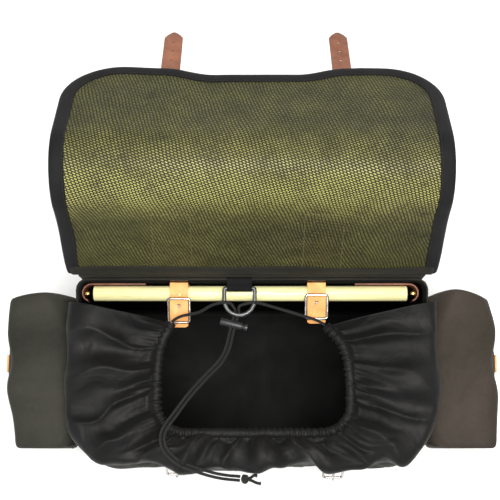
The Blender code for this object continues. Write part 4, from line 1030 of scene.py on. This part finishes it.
inner = grid("lid_twill_face", lid_pts + lid_n * 0.0011, M["lid_in"], uv=lid_uv)
outer = grid("lid_outer_face", lid_pts - lid_n * 0.0011, M["lid_out"], uv=lid_uv, flip=True)
for o in (inner, outer):
    solidify(o, 0.0006)
    bake(o)

# binding: folded tape over the edge all round but the hinge
edge = spaced(catmull([(x, s, 0.0) for x, s in lid_edge()], 3), 330)[:, :2]
edge_t = np.gradient(edge, axis=0)
edge_t /= np.linalg.norm(edge_t, axis=1)[:, None]
edge_in = np.stack([edge_t[:, 1], -edge_t[:, 0]], 1)
if edge_in[5] @ np.array([1.0, 0.0]) < 0:
    edge_in = -edge_in
SECTION = ((0.0128, 0.00155), (0.0100, 0.00215), (0.0060, 0.00235), (0.0020, 0.00235), (-0.0006, 0.0017), (-0.0014, 0.0), (-0.0006, -0.0017),
           (0.0020, -0.00235), (0.0060, -0.00235), (0.0100, -0.00215), (0.0128, -0.00155))
bind_rows, bind_uv = [], []
run = np.concatenate([[0.0], np.cumsum(np.linalg.norm(np.diff(edge, axis=0), axis=1))])
for i, (p, n) in enumerate(zip(edge, edge_in)):
    wob = noise.noise(Vector((run[i] * 22.0, 0.3, 9.1))) * 0.0011
    row, uvr = [], []
    for q, h in SECTION:
        e = p + n * (q + (wob if q > 0.009 else 0.0))
        row.append(lid_point(e[0], e[1], h))
        uvr.append((run[i], q if h >= 0 else 0.026 - q))
    bind_rows.append(row)
    bind_uv.append(uvr)
binding = grid("lid_edge_binding", bind_rows, M["binding"], uv=bind_uv)
solidify(binding, 0.0005, even=False)
subdivide(binding, 1)
bake(binding)

thread_runs = []
for off_in in (0.0112,):
    line = np.array([lid_point(*(p + n * off_in), 0.0024) for p, n in zip(edge, edge_in)])
    line_o = np.array([lid_point(*(p + n * off_in), -0.0024) for p, n in zip(edge, edge_in)])
    nn = line - line_o
    nn /= np.linalg.norm(nn, axis=1)[:, None]
    thread_runs.append(stitches("binding_stitch_in", line, nn, M["thread_dark"], pitch=0.0034, long=0.0023, radius=0.00026))
    thread_runs.append(stitches("binding_stitch_out", line_o, -nn, M["thread_dark"], pitch=0.0034, long=0.0023, radius=0.00026))

# the two patches sewn on the outside, where the dowel straps' ends are fixed; their stitches show inside
PATCHES = (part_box("lid_patch_left"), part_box("lid_patch_right"))
patch_parts = []
for n, (lo, hi) in enumerate(PATCHES):
    x0, x1 = lo.x, hi.x
    s0, s1 = 0.0065, 0.122
    rows, uvr = [], []
    for s in np.linspace(s0, s1, 26):
        rows.append([lid_point(x, s, -0.0026 - 0.0006 * (1 - abs(2 * (x - x0) / (x1 - x0) - 1) ** 6)) for x in np.linspace(x0, x1, 12)])
        uvr.append([(s, x) for x in np.linspace(x0, x1, 12)])
    p = grid(f"patch_{n}", rows, M["webbing"], uv=uvr, flip=True)
    solidify(p, 0.0012)
    bake(p)
    patch_parts.append(p)
    inset = 0.0022
    loop = [(x0 + inset, s0 + 0.004), (x0 + inset, s1 - inset), (x1 - inset, s1 - inset), (x1 - inset, s0 + 0.004)]
    for a, b in zip(loop[:-1], loop[1:]):
        for h, lift in ((0.00125, 1.0), (-0.0041, -1.0)):
            pts = [lid_point(a[0] + (b[0] - a[0]) * t, a[1] + (b[1] - a[1]) * t, h) for t in np.linspace(0, 1, 30)]
            far = [lid_point(a[0] + (b[0] - a[0]) * t, a[1] + (b[1] - a[1]) * t, h + 0.001) for t in np.linspace(0, 1, 30)]
            nn = (np.array(far) - np.array(pts)) * lift
            thread_runs.append(stitches(f"patch_stitch_{n}", pts, nn, M["thread_olive"], pitch=0.0042, long=0.0024, radius=0.00048))
patches = join("lid_webbing_patches", patch_parts)
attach(patches, "lid_top")
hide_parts("lid_patch_left", "lid_patch_right")
lid_thread = join("lid_stitching", thread_runs)
for o, nodes, slot in ((inner, ("lid_top_panel",), "lid_canvas"), (outer, ("lid_front_flap",), "lid_canvas"),
                       (binding, ("lid_binding_top_left", "lid_binding_top_right", "lid_binding_flap"), "binding"), (lid_thread, (), "binding")):
    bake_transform(o)
    if nodes:
        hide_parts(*nodes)

# the strip of cloth that joins the lid to the back panel
strip_rows = []
for y, z in catmull([(0.0931, 0.2440), (0.0933, 0.2600), (0.0934, 0.2690), (0.0939, 0.2722), (0.0949, 0.2752), (0.0970, 0.2815), (0.0993, 0.2890)], 5):
    strip_rows.append([(x, y + noise.noise(Vector((x * 30.0, z * 40.0, 2.0))) * 0.0007, z) for x in np.linspace(-0.1795, 0.1795, 90)])
strip = grid("lid_hinge_strip", strip_rows, M["lid_out"])
solidify(strip, 0.0009)
bake(strip)
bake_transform(strip)
# the plain hem along the foot of the lid's inner face
foot_rows = []
for s in np.linspace(0.0005, 0.0165, 9):
    foot_rows.append([lid_point(x, s, 0.0022 + 0.0005 * math.sin(math.pi * s / 0.0165)) for x in np.linspace(-0.1780, 0.1780, 90)])
foot = grid("lid_foot_hem", foot_rows, M["bag"])
solidify(foot, 0.0008)
bake(foot)
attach(foot, "lid_top")

# ---------------------------------------------------------------- bag shell and lining
def outline(inset, count, corner_front=CORNER_R, corner_back=0.012):
    """The bag seen from above, anticlockwise from the middle of the back, with its outward normals."""
    w, f, b = HALF_W - inset, FRONT_Y + inset, 0.091 - inset
    rf, rb = corner_front - inset, max(corner_back - inset, 0.003)
    pts = [(0.0, b), (-w + rb, b)]
    for k in range(1, 7):
        a = math.radians(90 + 15 * k)
        pts.append((-w + rb + rb * math.cos(a), b - rb + rb * math.sin(a)))
    for k in range(0, 13):
        a = math.radians(180 + 7.5 * k)
        pts.append((-w + rf + rf * math.cos(a), f + rf + rf * math.sin(a)))
    for k in range(0, 13):
        a = math.radians(270 + 7.5 * k)
        pts.append((w - rf + rf * math.cos(a), f + rf + rf * math.sin(a)))
    for k in range(0, 7):
        a = math.radians(15 * k)
        pts.append((w - rb + rb * math.cos(a), b - rb + rb * math.sin(a)))
    pts.append((0.0, b))
    ring = spaced(np.array(pts), count + 1)[:-1]
    d = np.roll(ring, -1, 0) - np.roll(ring, 1, 0)
    d /= np.linalg.norm(d, axis=1)[:, None]
    return ring, np.stack([d[:, 1], -d[:, 0]], 1)


COUNT = 260
ring, out = outline(0.0004, COUNT)
z_rows = [0.0002, 0.0012, 0.0040, 0.0085] + list(np.linspace(0.014, 0.2620, 52))
shell_pts = []
for z in z_rows:
    tuck = 0.0085 - math.sqrt(max(0.0085**2 - max(0.0085 - z, 0.0) ** 2, 0.0))
    shell_pts.append(np.concatenate([ring - out * tuck, np.full((COUNT, 1), z)], 1))
shell_pts = np.array(shell_pts)
out3 = np.concatenate([out, np.zeros((COUNT, 1))], 1)[None]
zz = shell_pts[..., 2]
free = smoothstep((zz - 0.004) / 0.03) * smoothstep((0.258 - zz) / 0.03)
keep_chape = np.ones_like(zz)
for x in (-0.087, 0.094):
    near = np.hypot((shell_pts[..., 0] - x) / 0.030, (zz - 0.135) / 0.045)
    keep_chape *= np.where(shell_pts[..., 1] < 0, smoothstep((near - 0.75) / 0.5), 1.0)
for x in (-0.150, 0.150, -0.066, 0.066):
    near = np.hypot((shell_pts[..., 0] - x) / 0.030, (zz - (0.046 if abs(x) > 0.1 else 0.21)) / 0.045)
    keep_chape *= np.where(shell_pts[..., 1] > 0.05, smoothstep((near - 0.75) / 0.5), 1.0)
front = smoothstep((-shell_pts[..., 1] - 0.05) / 0.04)
back = smoothstep((shell_pts[..., 1] - 0.07) / 0.015)
side_share = np.clip(1.0 - front - back, 0, 1)
swell = 0.0042 * np.sin(np.clip(zz / 0.25, 0, 1) * math.pi) * (front * 1.0 + back * -0.6 - side_share * 0.7)
sag = bumps(shell_pts, 11.0, 0.0050, 4.2) * (0.75 - 0.25 * side_share) + bumps(shell_pts, 27.0, 0.0020, 8.8)
rip = np.sin((zz + shell_pts[..., 0] * 0.35 + bumps(shell_pts, 7.0, 0.03, 2.2)) * 2 * math.pi / 0.046) * 0.0012
push = (swell + (sag + rip) * free) * keep_chape * free
push = np.where(side_share > 0.5, np.minimum(push, 0.0), np.minimum(push, 0.0062))
push = np.where(back > 0.5, np.clip(push * 0.35, -0.0012, 0.0002), np.maximum(push, -0.0026))
shell_pts = shell_pts + out3 * push[..., None]
tmp = grid("bag_shell_sim", shell_pts, M["bag"], closed=True)
pins = np.zeros(shell_pts.shape[:2])
pins[:5] = 1.0
pins[-4:] = 1.0
pins = np.maximum(pins, (1.0 - keep_chape) * 0.9)
pins = np.maximum(pins, 0.06)
co = simulate(tmp, pins.ravel(), frames=16, bending=0.8, stretch=14.0, shrink=-0.028, quality=4).reshape(shell_pts.shape)
move = co - shell_pts
lim = 0.0050
size = np.linalg.norm(move, axis=2)
move *= (lim * np.tanh(size / lim) / np.maximum(size, 1e-9))[..., None]
co = shell_pts + move
base_line = np.concatenate([np.repeat(ring[None], len(z_rows), 0)], 0)
room = ((co[..., :2] - base_line) * out[None]).sum(2)
most = np.where(side_share > 0.5, 0.0, np.where(back > 0.5, 0.0004, 0.0066))
least = np.where(back > 0.5, -0.0013, -0.0028)
over = room - np.clip(room, least, most)
co[..., :2] -= out[None] * over[..., None]
co[..., 2] = np.clip(co[..., 2], 0.0002, 0.2625)
shell_pts = co
data = tmp.data
bpy.data.objects.remove(tmp, do_unlink=True)
bpy.data.meshes.remove(data)
shell_pts = slump(shell_pts)
rise = smoothstep((shell_pts[..., 1] - 0.070) / 0.018)
shell_pts[..., 2] += rise * 0.0055 * (shell_pts[..., 2] / 0.262) ** 2
shell = grid("bag_shell_canvas", shell_pts, M["bag"], closed=True)
solidify(shell, 0.0016)
bake(shell)
under = []
for k in np.linspace(1.0, 0.004, 10):
    under.append(np.concatenate([(ring - out * 0.0085) * np.array([k, 1.0]) * np.array([1.0, k]) + np.array([0.0, -0.0045]) * (1 - k), np.full((COUNT, 1), 0.0006)], 1))
bottom = grid("bag_base_canvas", under, M["bag"], closed=True, caps=False)
close_centre(bottom)
solidify(bottom, 0.0010)
bake(bottom)
# the lining: its near-black material is painted shade inside the bag
lin_ring, lin_out = outline(0.0042, COUNT)
lin = []
for k in np.linspace(0.004, 1.0, 13):
    lin.append(np.concatenate([lin_ring * k + np.array([0.0, -0.0045]) * (1 - k), np.full((COUNT, 1), 0.0046)], 1))
lin = np.array(lin)
lin[1:-1, :, 2] += np.abs(bumps(lin[1:-1], 26.0, 0.004, 6.6)) * 0.6
lin[0, :, 2] = lin[1, :, 2].mean()
lin[..., 1] += np.where(lin[..., 1] > 0.084, 0.0014, 0.0)
lin_ring = lin_ring + np.stack([np.zeros(COUNT), np.where(lin_ring[:, 1] > 0.084, 0.0014, 0.0)], 1)
wall = []
for z in np.linspace(0.010, 0.2590, 26):
    wall.append(np.concatenate([lin_ring, np.full((COUNT, 1), z)], 1))
wall = slump(np.array(wall))
lin_out3 = np.concatenate([lin_out, np.zeros((COUNT, 1))], 1)[None]
inward = (np.abs(bumps(wall, 13.0, 0.006, 9.3)) + np.abs(bumps(wall, 34.0, 0.0020, 1.3))) * (smoothstep((wall[..., 2] - 0.01) / 0.03) * smoothstep((0.236 - wall[..., 2]) / 0.03))
wall = wall - lin_out3 * inward[..., None]
wall[..., 2] += smoothstep((wall[..., 1] - 0.070) / 0.015) * 0.0070 * (wall[..., 2] / 0.259) ** 2
lining = grid("bag_lining", np.concatenate([lin, wall]), M["lining"], closed=True, flip=True)
close_centre(lining)
solidify(lining, 0.0008, 0.0)
bake(lining)
for o, nodes, slot in ((shell, ("front_panel", "side_panel_left", "side_panel_right", "back_panel"), "canvas"), (bottom, ("base_panel",), "canvas"), (lining, (), "skirt_cloth")):
    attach(o, "bag")
    if nodes:
        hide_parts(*nodes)

# ---------------------------------------------------------------- side pockets
PY0, PY1 = -0.080, 0.075


def pocket_taper(s, x, y):
    """How far a worn pocket's outer face leans in towards its front and back ends."""
    x, y = np.abs(np.asarray(x, float)), np.asarray(y, float)
    front_lean, back_lean = (0.0125, 0.0015) if s < 0 else (0.0045, 0.0060)
    lean = front_lean * smoothstep((-0.004 - y) / 0.078) + back_lean * smoothstep((y - 0.040) / 0.040)
    return lean * smoothstep((x - 0.198) / 0.055)


for side, s in (("left", -1), ("right", 1)):
    top_mat = M[f"pocket_{side}"]
    # body: open box of canvas with soft corners
    pts = [(0.1836, 0.0), (0.1836, PY0 + 0.006)]
    for k in range(1, 5):
        a = math.radians(180 + 22.5 * k)
        pts.append((0.1896 + 0.006 * math.cos(a), PY0 + 0.006 + 0.006 * math.sin(a)))
    for k in range(0, 9):
        a = math.radians(270 + 11.25 * k)
        pts.append((0.2400 + 0.0212 * math.cos(a), PY0 + 0.0212 + 0.0212 * math.sin(a)))
    for k in range(0, 9):
        a = math.radians(11.25 * k)
        pts.append((0.2400 + 0.0212 * math.cos(a), PY1 - 0.0212 + 0.0212 * math.sin(a)))
    for k in range(0, 5):
        a = math.radians(90 + 22.5 * k)
        pts.append((0.1896 + 0.006 * math.cos(a), PY1 - 0.006 + 0.006 * math.sin(a)))
    pts.append((0.1836, 0.0))
    n_ring = 110
    pr = spaced(np.array(pts), n_ring + 1)[:-1]
    d = np.roll(pr, -1, 0) - np.roll(pr, 1, 0)
    d /= np.linalg.norm(d, axis=1)[:, None]
    po = np.stack([d[:, 1], -d[:, 0]], 1)
    rows = []
    zs = [0.0104, 0.0112, 0.0135, 0.0175] + list(np.linspace(0.023, 0.2135, 40))
    for z in zs:
        tuck = 0.0075 - math.sqrt(max(0.0075**2 - max(0.0179 - z, 0.0) ** 2, 0.0))
        rows.append(np.concatenate([pr - po * tuck, np.full((n_ring, 1), z)], 1))
    rows = np.array(rows)
    zz = rows[..., 2]
    outer_face = smoothstep((rows[..., 0] - 0.19) / 0.008)
    free = smoothstep((zz - 0.014) / 0.03) * outer_face
    dent = bumps(rows * np.array([s, 1, 1]), 15.0, 0.0042, 3.3 + s) + bumps(rows * np.array([s, 1, 1]), 36.0, 0.0015, 6.1 + s)
    waist = -0.0030 * np.sin(np.clip((zz - 0.02) / 0.19, 0, 1) * math.pi)
    push = np.clip((dent + waist) * free, -0.0075, 0.0008)
    rows = rows + np.concatenate([po, np.zeros((n_ring, 1))], 1)[None] * push[..., None]
    floor_rows = []
    for k in np.linspace(0.05, 0.96, 7):
        mid = np.array([0.222, -0.0025])
        inner_ring = pr - po * 0.0075
        floor_rows.append(np.concatenate([mid + (inner_ring - mid) * k, np.full((n_ring, 1), 0.0104)], 1))
    rows = np.concatenate([np.array(floor_rows), rows])
    rows[..., 0] *= s
    rows[..., 0] -= s * pocket_taper(s, rows[..., 0], rows[..., 1])
    # the strap pulls the lid in here, and the wall under it goes in with it
    pulled = np.exp(-(((rows[..., 1] - 0.008) / 0.022) ** 2)) * smoothstep((rows[..., 2] - 0.180) / 0.014)
    rows[..., 0] -= s * 0.0070 * pulled * smoothstep((np.abs(rows[..., 0]) - 0.225) / 0.025)
    body = grid(f"pocket_body_{side}_canvas", rows, M["pocket_side"], closed=True, flip=s < 0)
    close_centre(body)
    solidify(body, 0.0012, even=False)
    bake(body)
    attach(body, "bag")
    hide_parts(f"pocket_body_{side}")

    # lid: pillowed top that falls to the bag at its inner edge, a drop outside, and short turned-down ends
    path = catmull([(0.1862, 0.2075), (0.1886, 0.2136), (0.1935, 0.2188), (0.2010, 0.2212), (0.2150, 0.2222), (0.2350, 0.2220),
                    (0.2520, 0.2206), (0.2612, 0.2168), (0.2650, 0.2100), (0.2660, 0.2000), (0.2661, 0.1750), (0.2660, 0.1560), (0.2660, 0.1404)], 6)
    path = spaced(path, 64)
    pt = np.gradient(path, axis=0)
    pt /= np.linalg.norm(pt, axis=1)[:, None]
    pn = np.stack([-pt[:, 1], pt[:, 0]], 1)
    if pn[20] @ np.array([0.0, 1.0]) < 0:
        pn = -pn
    lip = 0.0110
    cols = [(PY0 - 0.0024, -lip), (PY0 - 0.0028, -lip * 0.66), (PY0 - 0.0028, -lip * 0.40), (PY0 - 0.0020, -0.0018), (PY0 + 0.0005, -0.0003)]
    mids = [(y, 0.0) for y in np.linspace(PY0 + 0.005, PY1 - 0.005, 52)]
    cols = cols + mids + [(PY0 + PY1 - y, h) for y, h in cols[::-1]]
    lid_rows = []
    for (x, z), (nx, nz) in zip(path, pn):
        row = []
        for y, h in cols:
            d_in = x - 0.1862
            top = smoothstep((z - 0.200) / 0.014)
            crown = 0.0026 * math.sin(math.pi * min(max((y - PY0) / (PY1 - PY0), 0.0), 1.0)) * float(top) * float(smoothstep(d_in / 0.02))
            c_rear = d_in + 0.75 * max(PY1 + 0.003 - y, 0.0)
            c_front = d_in + 0.90 * max(y - PY0 + 0.003, 0.0)
            fall = 0.0260 * (1 - float(smoothstep(c_rear / 0.042))) + 0.0130 * (1 - float(smoothstep(c_front / 0.026)))
            fall *= float(top)
            taper = float(pocket_taper(s, x, y))
            q = Vector((s * x * 13.0, y * 13.0, z * 13.0))
            dent = noise.noise(q + Vector((s * 3.1, 0, 0))) * 0.0030 + noise.noise(q * 2.6 + Vector((0, s * 2.0, 0))) * 0.0011
            dent *= float(smoothstep(d_in / 0.012))
            near_strap = float(smoothstep((abs(y - 0.008) - 0.008) / 0.012))
            if x > 0.262 and z < 0.215:
                dent = min(dent, 0.0) * near_strap
            taper += 0.0062 * math.exp(-(((y - 0.008) / 0.020) ** 2)) * float(smoothstep((x - 0.230) / 0.025)) * float(smoothstep((z - 0.192) / 0.012))
            belly = (0.0050 if s < 0 else 0.0085) * float(smoothstep((y - 0.048) / 0.030)) * math.sin(math.pi * min(max((x - 0.184) / 0.078, 0.0), 1.0)) * float(smoothstep((z - 0.150) / 0.060))
            row.append((s * (x + nx * (h + dent) - taper), y + belly, z + nz * (h + dent) + crown - fall))
        lid_rows.append(row)
    lid = grid(f"pocket_lid_{side}_canvas", lid_rows, top_mat, flip=s > 0)
    solidify(lid, 0.0013)
    subdivide(lid, 1)
    bake(lid)
    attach(lid, f"pocket_lid_{side}")
    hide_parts(f"pocket_lid_{side}")
    k = len(path) - 4
    hem = [lid_rows[k][c] for c in range(4, len(cols) - 4)]
    hem_thread = stitches(f"pocket_lid_{side}_stitching", np.array(hem) + np.array([s * 0.0008, 0, 0]), np.array([float(s), 0.0, 0.0]), M["thread_dark"], pitch=0.0036, long=0.0025, radius=0.00035)
    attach(hem_thread, f"pocket_lid_{side}")


# ---------------------------------------------------------------- leather, metal and wood: refined copies of the CAD nodes
def refined(node, material, bevel=0.00030, angle=38.0, name=None, segments=2):
    src = NODES[node]
    co = np.array([v.co for v in src.data.vertices], float)
    key = np.round(co / 2e-6).astype(np.int64)
    _, first, index = np.unique(key, axis=0, return_index=True, return_inverse=True)
    index = index.reshape(-1)
    faces = []
    for p in src.data.polygons:
        f = [int(index[i]) for i in p.vertices]
        if len(set(f)) == len(f):
            faces.append(f)

    bm = bmesh.new()
    vs = [bm.verts.new(co[i]) for i in first]
    for f in faces:
        try:
            bm.faces.new([vs[i] for i in f])
        except ValueError:
            pass
    bmesh.ops.recalc_face_normals(bm, faces=bm.faces)
    bmesh.ops.dissolve_limit(bm, angle_limit=math.radians(0.6), verts=bm.verts, edges=bm.edges)
    mesh = bpy.data.meshes.new(name or f"{node}_piece")
    bm.to_mesh(mesh)
    bm.free()
    mesh.uv_layers.new(name="uv")
    mesh.materials.append(material)
    obj = link(bpy.data.objects.new(name or f"{node}_piece", mesh))
    if bevel:
        m = obj.modifiers.new("bevel", "BEVEL")
        m.width = bevel
        m.segments = segments
        m.limit_method = "ANGLE"
        m.angle_limit = math.radians(angle)
        m.use_clamp_overlap = True
        bake(obj)
    obj.data.polygons.foreach_set("use_smooth", [True] * len(obj.data.polygons))
    obj.data.set_sharp_from_angle(angle=math.radians(50.0))
    body = next(b for b, members in frame["record"]["behaviour"]["bodies"].items() if node in members)
    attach(obj, body)
    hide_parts(node)
    return obj


for side in ("left", "right"):
    refined(f"dowel_strap_{side}", M["tan"], 0.00035)
    refined(f"front_chape_{side}", M["brown"], 0.00030)
    refined(f"pocket_chape_{side}", M["tan"], 0.00030)
    refined(f"pocket_strap_{side}", M["tan"], 0.00040)
    refined(f"dowel_end_loop_{side}", M["dark_leather"], 0.00030)
    refined(f"lid_strap_{side}", M["brown"], 0.00040)
    refined(f"shoulder_strap_{side}", M["dark_leather"], 0.00040)
    refined(f"shoulder_anchor_{side}", M["dark_leather"], 0.00030)
    for n in ("dowel_buckle", "front_buckle", "front_prong", "pocket_buckle", "pocket_prong", "shoulder_buckle", "shoulder_prong"):
        refined(f"{n}_{side}", M["chrome"], 0.00020 if "prong" in n else 0.0)
refined("dowel", M["wood"], 0.0)
refined("d_ring", M["gunmetal"], 0.0)
refined("cord_lock_barrel", M["plastic"], 0.00045)
refined("cord_lock_plunger", M["plastic"], 0.00045)
refined("cord_lock_spring", M["spring"], 0.0)
refined("d_ring_tab", M["webbing"], 0.0002)

# a small brass rivet in each end loop
rivets = []
for s, x in ((-1, -0.1725), (1, 0.1690)):
    dome = []
    for k in range(7):
        a = math.radians(90 * k / 6)
        dome.append([(x + 0.0030 * math.cos(a) * math.cos(b), 0.0770 + 0.0030 * math.cos(a) * math.sin(b), 0.2574 + 0.0016 * math.sin(a + 0.02)) for b in (2 * math.pi * i / 18 for i in range(18))])
    rivets.append(grid(f"rivet_{s}", dome, M["brass"], closed=True, caps=True))
rivet = join("end_loop_rivets", rivets)
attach(rivet, "bag")

for piece in SQUASHED:
    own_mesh(piece)
